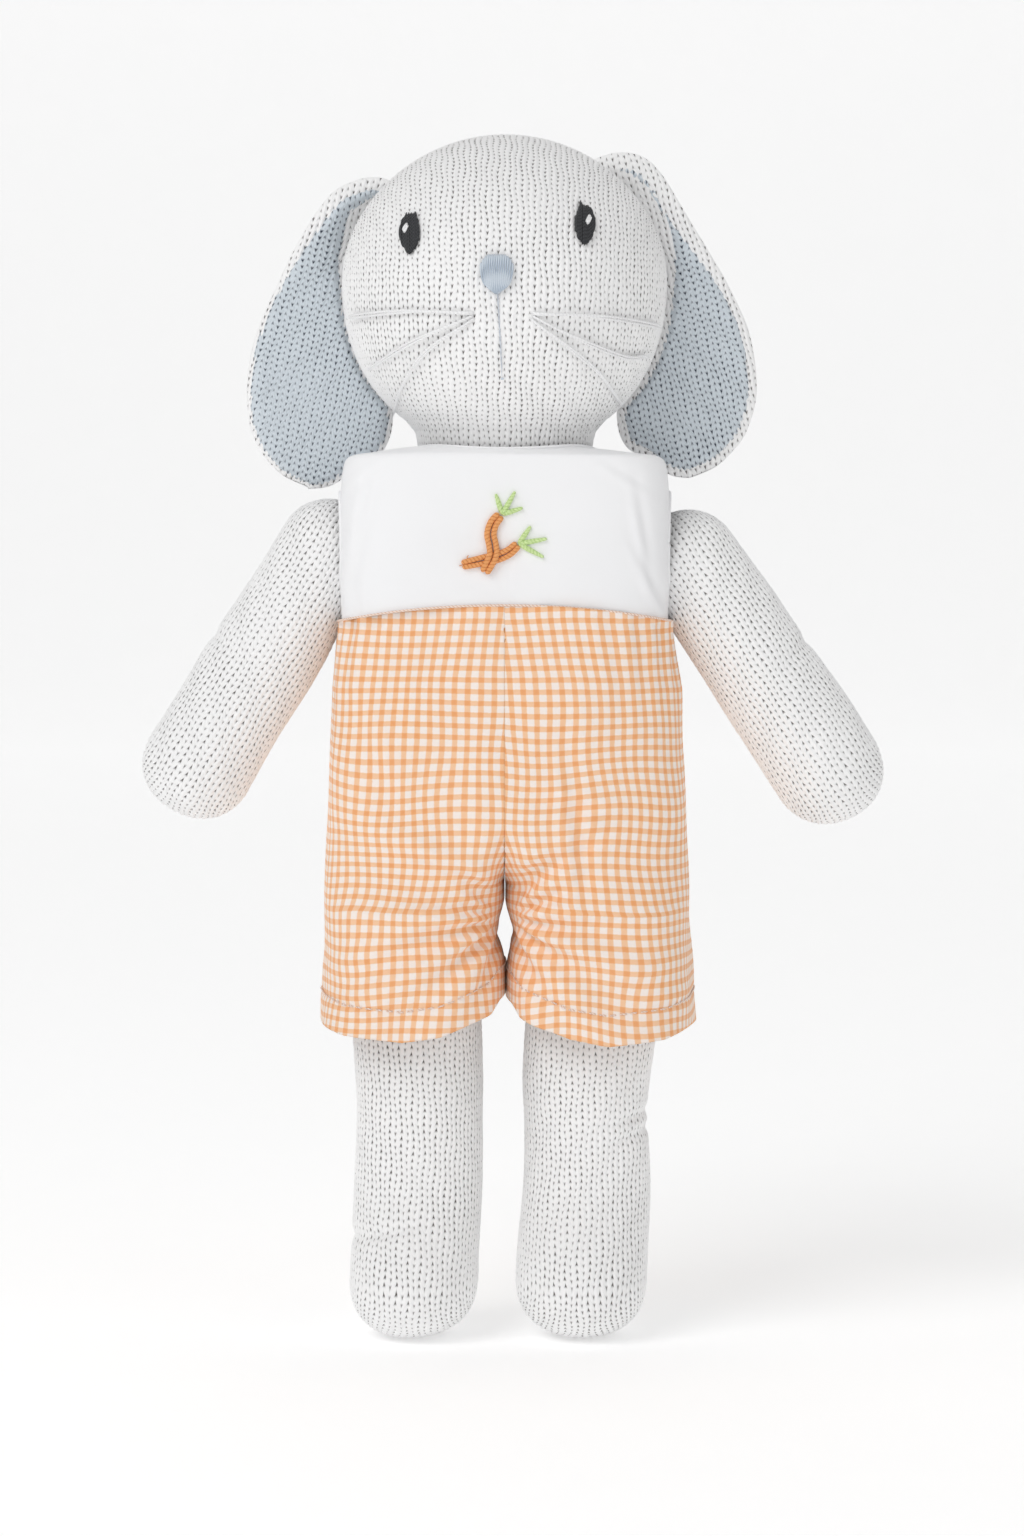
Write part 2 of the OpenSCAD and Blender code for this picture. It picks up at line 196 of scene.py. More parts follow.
def cloth_piece(name, patches, material, weld=0.002):
    """One mesh from grids whose borders meet. Each point is lifted along its normal by its lift."""
    points, uvs, lifts, faces, start = [], [], [], [], 0
    for g in patches:
        rows, cols = g["points"].shape[:2]
        f = grid_faces(rows, cols)
        faces.append((f if g["keep"] is None else f[g["keep"].ravel()]) + start)
        points.append(g["points"].reshape(-1, 3))
        uvs.append(g["uv"].reshape(-1, 2))
        lifts.append(g["lift"].ravel())
        start += rows * cols
    points, uvs, lifts, faces = map(np.concatenate, (points, uvs, lifts, faces))
    mesh = bpy.data.meshes.new(name)
    mesh.vertices.add(len(points))
    mesh.vertices.foreach_set("co", (points * MM).astype(np.float32).ravel())
    mesh.loops.add(faces.size)
    mesh.loops.foreach_set("vertex_index", faces.ravel())
    mesh.polygons.add(len(faces))
    mesh.polygons.foreach_set("loop_start", np.arange(0, faces.size, 4))
    mesh.update(calc_edges=True)
    layer = mesh.uv_layers.new(name="cloth")
    layer.uv.foreach_set("vector", uvs[faces.ravel()].astype(np.float32).ravel())
    mesh.attributes.new("lift", "FLOAT", "POINT").data.foreach_set("value", lifts.astype(np.float32))
    bm = bmesh.new()
    bm.from_mesh(mesh)
    bmesh.ops.delete(bm, geom=[v for v in bm.verts if not v.link_faces], context="VERTS")
    bmesh.ops.remove_doubles(bm, verts=bm.verts, dist=weld * MM)
    bmesh.ops.recalc_face_normals(bm, faces=bm.faces)
    bm.to_mesh(mesh)
    bm.free()
    lift = np.zeros(len(mesh.vertices))
    mesh.attributes["lift"].data.foreach_get("value", lift)
    co = read(mesh.vertices, "co") + read(mesh.vertex_normals, "vector") * lift[:, None] * MM
    mesh.vertices.foreach_set("co", co.astype(np.float32).ravel())
    mesh.attributes.remove(mesh.attributes["lift"])
    return finish_piece(name, mesh, material)


def finish_piece(name, mesh, material):
    mesh.polygons.foreach_set("use_smooth", np.ones(len(mesh.polygons), bool))
    mesh.update()
    obj = bpy.data.objects.new(name, mesh)
    bpy.context.scene.collection.objects.link(obj)
    mesh.materials.append(material)
    return obj


# Thickness of each cloth
COTTON_T = 0.7
PLACKET_T = 0.5
GINGHAM_T = 0.55
LINING_T = 0.4


def thicken(piece, thickness):
    """Gives cloth its thickness, inwards from its surface."""
    piece.modifiers.new("thickness", "SOLIDIFY").thickness = thickness * MM


def attach(piece, body, slot, *nodes):
    """Puts a piece on its body and hides the CAD nodes that it stands for; slot, its finish, is not used."""
    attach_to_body(piece, body)
    if nodes:
        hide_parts(*nodes)


def thread_piece(name, lines, radius, material, sides=8):
    """Rows of thread as round tubes with rounded ends."""
    verts, faces, uvs, start = [], [], [], 0
    turn = np.linspace(0, 2 * np.pi, sides, endpoint=False)
    for line in lines:
        line = np.array(line, float)
        n = len(line)
        along = lengths(line)
        tangent = np.gradient(line, axis=0)
        tangent /= np.linalg.norm(tangent, axis=1, keepdims=True)
        side = np.cross(tangent, [0.13, -1, 0.21])
        side /= np.linalg.norm(side, axis=1, keepdims=True)
        up = np.cross(side, tangent)
        end = np.minimum(along, along[-1] - along)
        fat = radius * np.sqrt(np.clip(1 - (1 - np.clip(end / radius, 0.05, 1)) ** 2, 0.02, 1))
        ring = side[:, None] * np.cos(turn)[None, :, None] + up[:, None] * np.sin(turn)[None, :, None]
        verts.append((line[:, None] + ring * fat[:, None, None]).reshape(-1, 3))
        for i in range(n - 1):
            for k in range(sides):
                m = (k + 1) % sides
                a, b = start + i * sides, start + (i + 1) * sides
                faces.append((a + k, a + m, b + m, b + k))
                u0, u1 = along[i], along[i + 1]
                uvs.append(((u0, k / sides), (u0, (k + 1) / sides), (u1, (k + 1) / sides), (u1, k / sides)))
        faces.append(tuple(start + k for k in range(sides))[::-1])
        faces.append(tuple(start + (n - 1) * sides + k for k in range(sides)))
        uvs.append(((along[0], 0),) * sides)
        uvs.append(((along[-1], 0),) * sides)
        start += n * sides
    mesh = bpy.data.meshes.new(name)
    mesh.from_pydata((np.vstack(verts) * MM).tolist(), [], faces)
    layer = mesh.uv_layers.new(name="cloth")
    layer.uv.foreach_set("vector", np.array([c for f in uvs for c in f], np.float32).ravel())
    return finish_piece(name, mesh, material)


# ---------------------------------------------------------------- materials
class Paint:
    """A node material. Its calls add nodes and return their outputs."""

    def __init__(self, name, roughness, sheen=0.0, specular=0.3):
        self.material = bpy.data.materials.new(name)
        self.material.use_nodes = True
        self.tree = self.material.node_tree
        self.tree.nodes.clear()
        self.shader = self.add("ShaderNodeBsdfPrincipled")
        out = self.add("ShaderNodeOutputMaterial")
        self.tree.links.new(self.shader.outputs[0], out.inputs[0])
        self.shader.inputs["Roughness"].default_value = roughness
        self.shader.inputs["Specular IOR Level"].default_value = specular
        self.shader.inputs["Sheen Weight"].default_value = sheen
        self.shader.inputs["Sheen Roughness"].default_value = 0.4

    def add(self, kind, **settings):
        node = self.tree.nodes.new(kind)
        for key, value in settings.items():
            setattr(node, key, value)
        return node

    def feed(self, socket, value):
        if isinstance(value, bpy.types.NodeSocket):
            self.tree.links.new(value, socket)
        else:
            socket.default_value = value

    def math(self, operation, a, b=0.0, clamp=False):
        node = self.add("ShaderNodeMath", operation=operation, use_clamp=clamp)
        self.feed(node.inputs[0], a)
        self.feed(node.inputs[1], b)
        return node.outputs[0]

    def plus(self, a, b):
        return self.math("ADD", a, b)

    def less(self, a, b):
        return self.math("SUBTRACT", a, b)

    def times(self, a, b):
        return self.math("MULTIPLY", a, b)

    def step(self, low, high, value):
        node = self.add("ShaderNodeMapRange", interpolation_type="SMOOTHSTEP")
        self.feed(node.inputs["Value"], value)
        node.inputs["From Min"].default_value = low
        node.inputs["From Max"].default_value = high
        return node.outputs[0]

    def cloth_uv(self):
        uv = self.add("ShaderNodeUVMap", uv_map="cloth")
        parts = self.add("ShaderNodeSeparateXYZ")
        self.feed(parts.inputs[0], uv.outputs[0])
        return parts.outputs[0], parts.outputs[1]

    def place(self):
        return self.add("ShaderNodeTexCoord").outputs["Object"]

    def vector(self, x, y, z=0.0):
        node = self.add("ShaderNodeCombineXYZ")
        for socket, value in zip(node.inputs, (x, y, z)):
            self.feed(socket, value)
        return node.outputs[0]

    def noise(self, vector, scale, detail=2.0, rough=0.5):
        node = self.add("ShaderNodeTexNoise")
        self.feed(node.inputs["Vector"], vector)
        node.inputs["Scale"].default_value = scale
        node.inputs["Detail"].default_value = detail
        node.inputs["Roughness"].default_value = rough
        return node.outputs[0]

    def colour(self, factor, a, b):
        node = self.add("ShaderNodeMix", data_type="RGBA")
        self.feed(node.inputs[0], factor)
        self.feed(node.inputs[6], a)
        self.feed(node.inputs[7], b)
        return node.outputs[2]

    def finish(self, colour, height=None, distance=0.0003, strength=0.6):
        self.feed(self.shader.inputs["Base Color"], colour)
        if height is not None:
            bump = self.add("ShaderNodeBump")
            bump.inputs["Distance"].default_value = distance
            bump.inputs["Strength"].default_value = strength
            self.feed(bump.inputs["Height"], height)
            self.feed(self.shader.inputs["Normal"], bump.outputs[0])
        return self.material


def rgb(r, g, b):
    """A colour from its 0 to 255 screen values."""
    def linear(c):
        c /= 255
        return c / 12.92 if c <= 0.04045 else ((c + 0.055) / 1.055) ** 2.4
    return (linear(r), linear(g), linear(b), 1.0)


# Stocking stitch: each stitch is a V of two legs, one stitch wide and one row high
STITCH_W = 3.45
STITCH_H = 2.1
LEG_LEAN = 1.5


def knit_height(s, t):
    """0 in the gaps and 1 on the yarn, at s stitches across and t rows up."""
    r = np.abs(2 * (s % 1) - 1)
    wave = np.abs(np.cos(np.pi * (t - LEG_LEAN * r)))
    rib = np.clip(np.sin(np.pi * r), 0, 1) ** 1.4
    between = mix(0.5 * wave, 0.16 + 0.36 * wave, smooth(0.35, 0.65, r))
    return rib * (0.72 + 0.28 * wave**0.5) + (1 - rib) * between


def knit_material(name, yarn, gap, fuzz):
    """Yarn in stocking stitch: the same stitches as knit_height, with plies and fuzz, and painted shade in
    the pits between stitches.
    """
    p = Paint(name, roughness=0.92, sheen=0.35, specular=0.2)
    s, t = p.cloth_uv()
    r = p.math("ABSOLUTE", p.less(p.times(p.math("FRACT", s), 2.0), 1.0))
    psi = p.less(t, p.times(r, LEG_LEAN))
    wave = p.math("ABSOLUTE", p.math("COSINE", p.times(psi, math.pi)))
    rib = p.math("POWER", p.math("SINE", p.times(r, math.pi), clamp=True), 1.4)
    on_rib = p.plus(p.times(p.math("POWER", wave, 0.5), 0.28), 0.72)
    in_gap = p.times(wave, 0.5)
    in_joint = p.plus(p.times(wave, 0.36), 0.16)
    meets = p.step(0.35, 0.65, r)
    between = p.plus(in_gap, p.times(p.less(in_joint, in_gap), meets))
    height = p.plus(between, p.times(rib, p.less(on_rib, between)))
    ply_place = p.vector(p.times(psi, 7.0), p.times(r, 1.6), p.math("FLOOR", s))
    plies = p.noise(ply_place, 1.0, 3.0, 0.6)
    fibres = p.noise(p.place(), 2600.0, 3.0, 0.7)
    broad = p.noise(p.place(), 45.0, 3.0, 0.55)
    # Painted shade in the pits between stitches: gap is the shade's colour, shown is 0 where the shade is
    # painted, and broad noise widens or narrows the shaded pits.
    pit_shade_spread = p.plus(p.times(broad, 0.5), -0.22)
    shown = p.step(0.06, 0.56, p.plus(height, p.times(pit_shade_spread, -0.55)))
    worn = p.colour(plies, yarn, fuzz)
    worn = p.colour(p.step(0.35, 0.75, fibres), worn, fuzz)
    # The painted pit shade (gap) where the yarn isn't shown, and the yarn's own colour elsewhere.
    colour = p.colour(shown, gap, worn)
    bumps = p.plus(height, p.plus(p.times(plies, 0.35), p.times(fibres, 0.25)))
    return p.finish(colour, bumps, distance=0.00045, strength=0.7)


def cotton_material():
    """Fine plain weave, white, a little uneven."""
    p = Paint("cotton_white", roughness=0.85, sheen=0.2, specular=0.25)
    u, v = p.cloth_uv()
    weave = woven(p, u, v, 0.32)
    slub = p.noise(p.vector(p.times(u, 0.5), p.times(v, 5.0)), 1.0, 3.0)
    cloud = p.noise(p.place(), 60.0, 2.0)
    colour = p.colour(cloud, rgb(251, 251, 252), rgb(254, 254, 255))
    colour = p.colour(p.times(p.less(1.0, weave), 0.12), colour, rgb(214, 216, 222))
    height = p.plus(weave, p.times(slub, 0.8))
    return p.finish(colour, height, distance=0.00007, strength=0.5)


def woven(p, u, v, pitch):
    """Over and under threads: 1 on top of a thread and 0 between threads."""
    across = p.math("COSINE", p.times(u, 2 * math.pi / pitch))
    along = p.math("COSINE", p.times(v, 2 * math.pi / pitch))
    return p.plus(p.times(p.times(across, along), 0.5), 0.5)


CHECK_W = 3.62
CHECK_H = 3.42
STRIPE = 0.43


def gingham_material():
    """Woven checks: dyed warp and weft stripes, darker where they cross."""
    p = Paint("gingham", roughness=0.85, sheen=0.2, specular=0.25)
    u, v = p.cloth_uv()
    edge = p.times(p.less(p.noise(p.place(), 900.0, 2.0), 0.5), 0.07)

    def stripe(value, period):
        phase = p.plus(p.math("FRACT", p.math("DIVIDE", value, period)), edge)
        centre = p.math("ABSOLUTE", p.less(phase, 0.5))
        return p.less(1.0, p.step(STRIPE / 2 - 0.05, STRIPE / 2 + 0.05, centre))

    warp = stripe(u, CHECK_W)
    weft = stripe(v, CHECK_H)
    weave = woven(p, u, v, 0.36)
    dyed = p.times(p.plus(warp, weft), 0.5)
    both = p.times(warp, weft)
    white, light, deep = rgb(255, 247, 242), rgb(255, 210, 170), rgb(250, 168, 98)
    colour = p.colour(p.math("MULTIPLY", dyed, 2.0, clamp=True), white, light)
    colour = p.colour(p.times(both, 0.85), colour, deep)
    fade = p.noise(p.place(), 75.0, 3.0)
    colour = p.colour(p.times(fade, 0.18), colour, rgb(255, 226, 200))
    speck = p.times(p.less(1.0, weave), p.plus(p.times(dyed, 0.3), 0.08))
    colour = p.colour(speck, colour, rgb(226, 150, 96))
    slub = p.noise(p.vector(p.times(u, 5.0), p.times(v, 0.6)), 1.0, 3.0)
    return p.finish(colour, p.plus(weave, p.times(slub, 0.8)), distance=0.0001, strength=0.6)


def thread_material(name, light, dark, twist=1.1, gloss=0.5):
    """Twisted thread: plies wind round it once every twist millimetres."""
    p = Paint(name, roughness=gloss, sheen=0.15, specular=0.4)
    u, v = p.cloth_uv()
    wind = p.plus(p.math("DIVIDE", u, twist), p.times(v, 2.0))
    ply = p.math("ABSOLUTE", p.math("SINE", p.times(wind, math.pi)))
    fibre = p.noise(p.place(), 2200.0, 3.0, 0.65)
    colour = p.colour(p.step(0.0, 0.7, ply), dark, light)
    colour = p.colour(p.times(fibre, 0.5), colour, dark)
    return p.finish(colour, p.plus(ply, p.times(fibre, 0.6)), distance=0.00018, strength=0.7)


def button_material():
    """Cast plastic: faint cloudy swirls and fine wear scratches."""
    p = Paint("button", roughness=0.32, specular=0.5)
    place = p.place()
    swirl = p.noise(place, 320.0, 4.0, 0.6)
    scratch = p.noise(place, 3500.0, 2.0, 0.5)
    colour = p.colour(swirl, rgb(250, 249, 245), rgb(233, 231, 225))
    p.feed(p.shader.inputs["Roughness"], p.plus(p.times(scratch, 0.2), 0.22))
    return p.finish(colour, p.plus(swirl, p.times(scratch, 0.3)), distance=0.00005, strength=0.4)


# Each knit's second colour is the painted shade in the pits between its stitches.
KNIT_WHITE = knit_material("knit_white", rgb(254, 253, 253), rgb(90, 85, 82), rgb(255, 255, 255))
KNIT_BLUE = knit_material("knit_blue", rgb(200, 211, 220), rgb(38, 48, 64), rgb(226, 233, 239))
COTTON = cotton_material()
GINGHAM = gingham_material()
THREAD_WHITE = thread_material("thread_white", rgb(255, 255, 255), rgb(244, 244, 246))
THREAD_BLACK = thread_material("thread_black", rgb(62, 63, 66), rgb(30, 31, 34), gloss=0.6)
THREAD_BLUE = thread_material("thread_blue", rgb(214, 222, 230), rgb(170, 185, 202), twist=7.0, gloss=0.45)
THREAD_PALE = thread_material("thread_pale_blue", rgb(232, 236, 241), rgb(206, 214, 226), twist=2.0)
THREAD_ORANGE = thread_material("thread_orange", rgb(246, 174, 108), rgb(206, 128, 66), gloss=0.5)
THREAD_GREEN = thread_material("thread_green", rgb(222, 242, 180), rgb(186, 218, 134), gloss=0.5)
BUTTON = button_material()


# ---------------------------------------------------------------- camera, light and floor
def make_camera():
    """The picture's view: from the front and a little above, with the doll standing upright in it."""
    distance = 4.5 * DOLL_HEIGHT
    picture_height = 1.277 * DOLL_HEIGHT
    elevation = math.radians(4)
    aim = Vector((2.1, 0, 0.4745 * DOLL_HEIGHT)) * MM
    data = bpy.data.cameras.new("camera")
    data.sensor_width = 36
    data.lens = data.sensor_width * distance / picture_height
    data.clip_start, data.clip_end = 0.05, 50
    camera = bpy.data.objects.new("camera", data)
    back = Vector((0, -math.cos(elevation), math.sin(elevation)))
    camera.location = aim + back * distance * MM
    camera.rotation_euler = (-back).to_track_quat("-Z", "Y").to_euler()
    bpy.context.scene.collection.objects.link(camera)
    bpy.context.scene.camera = camera


def make_light(name, place, power_w, size, aim=(0, 0, 0.2)):
    data = bpy.data.lights.new(name, "AREA")
    data.energy = power_w
    data.size = size
    lamp = bpy.data.objects.new(name, data)
    lamp.location = place
    lamp.rotation_euler = (Vector(aim) - Vector(place)).to_track_quat("-Z", "Y").to_euler()
    bpy.context.scene.collection.objects.link(lamp)


def make_stage():
    """A pale floor that sweeps up behind the doll."""
    half_w, front, back, bend, top = 4000, -3000, 2600, 900, 4200
    profile = [(front, 0.0)] + [
        (back + bend * math.sin(a), bend - bend * math.cos(a)) for a in np.linspace(0, math.pi / 2, 17)
    ] + [(back + bend, top)]
    mesh = bpy.data.meshes.new("floor")
    verts = [(x * MM, y * MM, z * MM) for y, z in profile for x in (-half_w, half_w)]
    mesh.from_pydata(verts, [], [(2 * i, 2 * i + 1, 2 * i + 3, 2 * i + 2) for i in range(len(profile) - 1)])
    p = Paint("floor", roughness=0.9, specular=0.1)
    grain = p.noise(p.place(), 30.0, 3.0)
    colour = p.colour(grain, rgb(250, 250, 250), rgb(252, 252, 252))
    p.shader.inputs["Emission Color"].default_value = (1, 1, 1, 1)
    p.shader.inputs["Emission Strength"].default_value = 0.25
    finish_piece("floor", mesh, p.finish(colour, grain, distance=0.0001, strength=0.1))


def make_world():
    world = bpy.data.worlds.new("studio")
    world.use_nodes = True
    world.node_tree.nodes["Background"].inputs[0].default_value = (1, 1, 1, 1)
    world.node_tree.nodes["Background"].inputs[1].default_value = 0.45
    bpy.context.scene.world = world
    bpy.context.scene.view_settings.view_transform = "Standard"


make_camera()
make_world()
make_stage()
make_light("key", (-1.1, -1.5, 1.7), 19, 1.4)
make_light("fill", (1.5, -1.6, 0.9), 4, 1.6)
make_light("backdrop", (0, 0.9, 3.6), 12, 2.4, aim=(0, 3.4, 1.4))


# ---------------------------------------------------------------- knitted, stuffed pieces
RELIEF = 0.62
SEAM_DEPTH = 0.55
PANEL_SHIFT = 40


def knit_lift(s, t, seam_gap):
    """Stitch relief, sunk into a groove within a millimetre or so of a seam."""
    return mix(-SEAM_DEPTH, RELIEF * (knit_height(s, t) - 0.6), smooth(0.2, 1.5, seam_gap))


def wander(s, t):
    """Hand-knitted stitches aren't quite even: where the stitches at (s, t) really lie."""
    ds = 0.07 * np.sin(0.9 * t + 1.7 * s) + 0.06 * np.sin(0.37 * t - 0.6 * s + 2)
    dt = 0.09 * np.sin(0.8 * s + 0.5 * t + 1) + 0.07 * np.sin(1.9 * s - 0.23 * t)
    return s + ds, t + dt


def sock(tube, cap_h, cap_power, across, along, shape):
    """A knitted tube with one closed, rounded end, in its own frame: -Y is its front, and it
    closes towards +Z from z = 0. tube is a line of (radius, z) down from z = 0. It has a front
    and a back panel: stitches run straight over the closed end to a seam from side to side.
    across and along are mesh points for each stitch and row. shape(points) -> (points, lift)."""
    radius = tube[0][0]
    wales = math.pi * radius / STITCH_W
    columns = int(wales * across) + 1
    phi = np.linspace(0, np.pi, columns)
    made = []

    def add(points, s, t, gap):
        points, lift = shape(points)
        s, t = wander(s, t)
        made.append(patch(points, np.stack([s, t], -1), knit_lift(s, t, gap) + lift))

    rise = (radius + cap_h) / 2
    rows = 2 * int(math.pi / 2 * rise / STITCH_H * along) + 1
    p, q = np.meshgrid(phi, np.linspace(0, np.pi, rows))
    unit = np.stack([np.cos(p), -np.sin(p) * np.cos(q), np.sin(p) * np.sin(q)], -1)
    flat = np.maximum(np.hypot(unit[..., 0], unit[..., 1]), 1e-6)
    widen = radius * flat ** (2 / cap_power - 1)
    cap = np.stack([unit[..., 0] * widen, unit[..., 1] * widen, cap_h * unit[..., 2] ** (2 / cap_power)], -1)
    s = (np.pi / 2 - p) * radius / STITCH_W + np.where(q > np.pi / 2, PANEL_SHIFT, 0)
    t = np.minimum(q, np.pi - q) * np.sin(p) * rise / STITCH_H
    add(cap, s, t, np.abs(q - np.pi / 2) * np.sin(p) * radius)

    line = even(np.array(tube, float), int(lengths(np.array(tube, float))[-1] / STITCH_H * along) + 1)
    down = lengths(line)
    for back in (0, 1):
        p, i = np.meshgrid(phi, np.arange(len(line)))
        r, z = line[i, 0], line[i, 1]
        turn = p + back * np.pi
        points = np.stack([r * np.cos(turn), -r * np.sin(turn), z], -1)
        s = (np.pi / 2 - p) * radius / STITCH_W * np.clip(r / radius, 0.05, 2) ** 0.8 + back * PANEL_SHIFT
        if back:
            s = PANEL_SHIFT - (s - PANEL_SHIFT)
        add(points, s, -down[i] / STITCH_H, r * np.minimum(p, np.pi - p))
    return made


UPRIGHT = ((1, 0, 0), (0, 1, 0), (0, 0, 1))
UPSIDE_DOWN = ((1, 0, 0), (0, 1, 0), (0, 0, -1))


def place(patches, origin, axes, sign=1):
    """Moves grids from their own frame into the doll's; sign -1 mirrors them to its right side."""
    for g in patches:
        g["points"] = g["points"] @ np.array(axes, float) + np.array(origin, float)
        g["points"][..., 0] *= sign


def quarter(r_from, r_to, z_from, z_to):
    """A rounded corner of a profile, from (r_from, z_from) to (r_to, z_to)."""
    turn = np.linspace(0, np.pi / 2, 16)
    return [(mix(r_to, r_from, math.cos(a)), mix(z_from, z_to, math.sin(a))) for a in turn]


def profile_radius(z):
    """The head's radius at a height."""
    z = np.asarray(z, float)
    up = z > HEAD_Z
    h = np.where(up, CROWN_Z - HEAD_Z, CHIN_H)
    e = np.where(up, HEAD_UPPER_POWER, HEAD_LOWER_POWER)
    return HEAD_R * np.clip(1 - np.clip(np.abs(z - HEAD_Z) / h, 0, 1) ** e, 0, 1) ** (1 / e)


def head_swell(x, y, z):
    """The face isn't round: it's fuller on the cheeks and pulled in where threads are sewn."""
    front = y < 0
    mouth = smooth(NOSE_Z - 22, NOSE_Z - 12, z) * (z < NOSE_Z)
    swell = -0.5 * hump(x - FACE_X, 2.5) * mouth * front
    for sx in (-1, 1):
        sewn = np.hypot(x - FACE_X - sx * WHISKER_OFF, z - WHISKER_Z + 1)
        cheek = np.hypot((x - FACE_X - sx * 15) / 13, (z - WHISKER_Z + 5) / 12)
        swell = swell - 1.1 * hump(sewn, 3.2) * front + 0.9 * hump(cheek) * front
    return swell + 0.35 * rolling(x, y, z, 24, 3)


def on_face(x, z, out=0.0):
    """A point on the front of the head, out from it by a distance."""
    r = profile_radius(z)
    y = -np.sqrt(np.maximum(r**2 - np.asarray(x, float) ** 2, 0))
    out = out + head_swell(x, y, z)
    slope = (profile_radius(z - 0.5) - profile_radius(z + 0.5))
    normal = np.stack(np.broadcast_arrays(x / r, y / r, slope), -1)
    normal = normal / np.linalg.norm(normal, axis=-1, keepdims=True)
    return np.stack(np.broadcast_arrays(x, y, z), -1) + normal * np.asarray(out)[..., None]


nose_low, nose_high = box_mm("nose")
FACE_X = (nose_low[0] + nose_high[0]) / 2
NOSE_Z = (nose_low[2] + nose_high[2]) / 2
WHISKER_OFF = 8.0
WHISKER_Z = box_mm("whiskers_left")[1][2] - 0.6


def make_head():
    """The head and neck are one piece, pulled in a little where the whiskers are sewn."""
    e = 2 / HEAD_LOWER_POWER
    chin = np.linspace(0, CHIN_TURN, 40)
    tube = [((HEAD_R - 0.2) * math.cos(a) ** e, -CHIN_H * math.sin(a) ** e) for a in chin]
    chin_r, chin_z = tube[-1]
    neck_z = chin_z - 3
    fillet = [
        (chin_r, chin_z), (chin_r - 1.6, chin_z - 1.8),
        (NECK_R + 0.8, chin_z - 4), (NECK_R, chin_z - 8),
    ]
    tube += [tuple(p) for p in curve_through(fillet, 12)[1:]]
    tube += [(NECK_R - 0.4, neck_z - 10), (NECK_R - 1, neck_z - 20)]
    tube += quarter(NECK_R - 1, 0.3, neck_z - 20, neck_z - 30)[1:]

    def shape(points):
        x, y, z = xyz(points)
        return points, head_swell(x, y, z + HEAD_Z)

    grids = sock(tube, CROWN_Z - HEAD_Z - 0.2, HEAD_UPPER_POWER, 5.0, 3.2, shape)
    place(grids, (0, 0, HEAD_Z), UPRIGHT)
    head = cloth_piece("head", grids, KNIT_WHITE)
    attach(head, "head", "knit_white", "head_skin", "head_stuffing", "neck_thread")


# The doll's left arm is turned a few degrees further out than its right one, and reaches further
LEFT_ARM_OUT = 2.6
LEFT_ARM_REACH = 1.055


def turned(v, degrees):
    """A direction turned outwards, seen from the front."""
    c, s = math.cos(math.radians(degrees)), math.sin(math.radians(degrees))
    return np.array([v[0] * c - v[2] * s, v[1], v[2] * c + v[0] * s])


def make_arm(side, sign):
    """An arm hangs from its shoulder, a little fuller at the hand."""
    low, high = box_mm("arm_skin_left")
    hand_r = (high[1] - low[1]) / 2
    hand = np.array([high[0] - hand_r, 0, low[2] + hand_r])
    axis = (hand - SHOULDER) / np.linalg.norm(hand - SHOULDER)
    length = np.linalg.norm(hand - SHOULDER)
    r = hand_r - 0.2
    tube = [(r, 0), (r, -12), (r - 0.35, -length * 0.5), (r - 1.1, -length * 0.85), (r - 1.6, -length)]
    tube = [tuple(p) for p in curve_through(tube, 40)]
    tube += quarter(tube[-1][0], 0.3, tube[-1][1], tube[-1][1] - (hand_r - 2))[1:]
    seed = 11 if sign > 0 else 12

    def shape(points):
        x, y, z = xyz(points)
        crease = -0.7 * hump(z + length * 0.42 + 0.25 * x, 2.2) * smooth(2, 12, x)
        return points, crease + 0.45 * rolling(x, y, z, 20, seed)

    grids = sock(tube, hand_r - 0.3, 2.15, 5.5, 3.5, shape)
    if sign > 0:
        hand = SHOULDER + turned(hand - SHOULDER, LEFT_ARM_OUT) * LEFT_ARM_REACH
        axis = turned(axis, LEFT_ARM_OUT)
    lateral = np.cross([0, 1, 0], axis)
    place(grids, hand, (-lateral, (0, 1, 0), axis), sign)
    arm = cloth_piece(f"arm_{side}", grids, KNIT_WHITE)
    nodes = (f"arm_skin_{side}", f"arm_stuffing_{side}", f"shoulder_thread_{side}")
    attach(arm, f"{side}_arm", "knit_white", *nodes)


def make_leg(side, sign):
    """A leg is a stuffed tube, a little narrower at the ankle, and its foot reaches forward."""
    low, high = box_mm("leg_skin_left")
    leg_r = (high[0] - low[0]) / 2
    reach = -low[1] - leg_r
    sole_h = 0.95 * leg_r
    top = high[2] - leg_r
    tube = [(leg_r + 0.4, 0), (leg_r, -18), (leg_r - 0.5, -45), (leg_r + 0.3, -72), (leg_r - 1, sole_h - top)]
    tube = [tuple(p) for p in curve_through(tube, 50)]
    tube += quarter(tube[-1][0], 0.3, tube[-1][1], tube[-1][1] - leg_r + 1)[1:]
    seed = 21 if sign > 0 else 22

    def shape(points):
        x, y, down = xyz(points)
        z = sole_h - down
        foot = 1 - smooth(16, 46, z)
        ahead = np.where(y < 0, y * (1 + reach / leg_r * foot), y)
        lean = -1.6 * (1 - smooth(10, 70, z)) * sign + 0.8 * smooth(70, 95, z) + (0.8 if sign < 0 else 0)
        moved = np.stack([x + lean, ahead, down], -1)
        lift = 0.5 * rolling(x, y, z, 22, seed)
        for fold_z, tilt in ((56, 0.35), (62, 0.3)) if sign > 0 else ((36, -0.3),):
            near = smooth(-2, 9, x) if sign > 0 else smooth(-6, 6, x)
            lift = lift - 0.9 * hump(z - fold_z - tilt * x, 1.8) * near * (y < 6)
        return moved, lift

    grids = sock(tube, sole_h, 2.45, 5.5, 3.5, shape)
    place(grids, (HIP[0], 0, sole_h), UPSIDE_DOWN, sign)
    leg = cloth_piece(f"leg_{side}", grids, KNIT_WHITE)
    rest_on_floor(leg)
    attach(leg, f"{side}_leg", "knit_white", f"leg_skin_{side}", f"leg_stuffing_{side}")


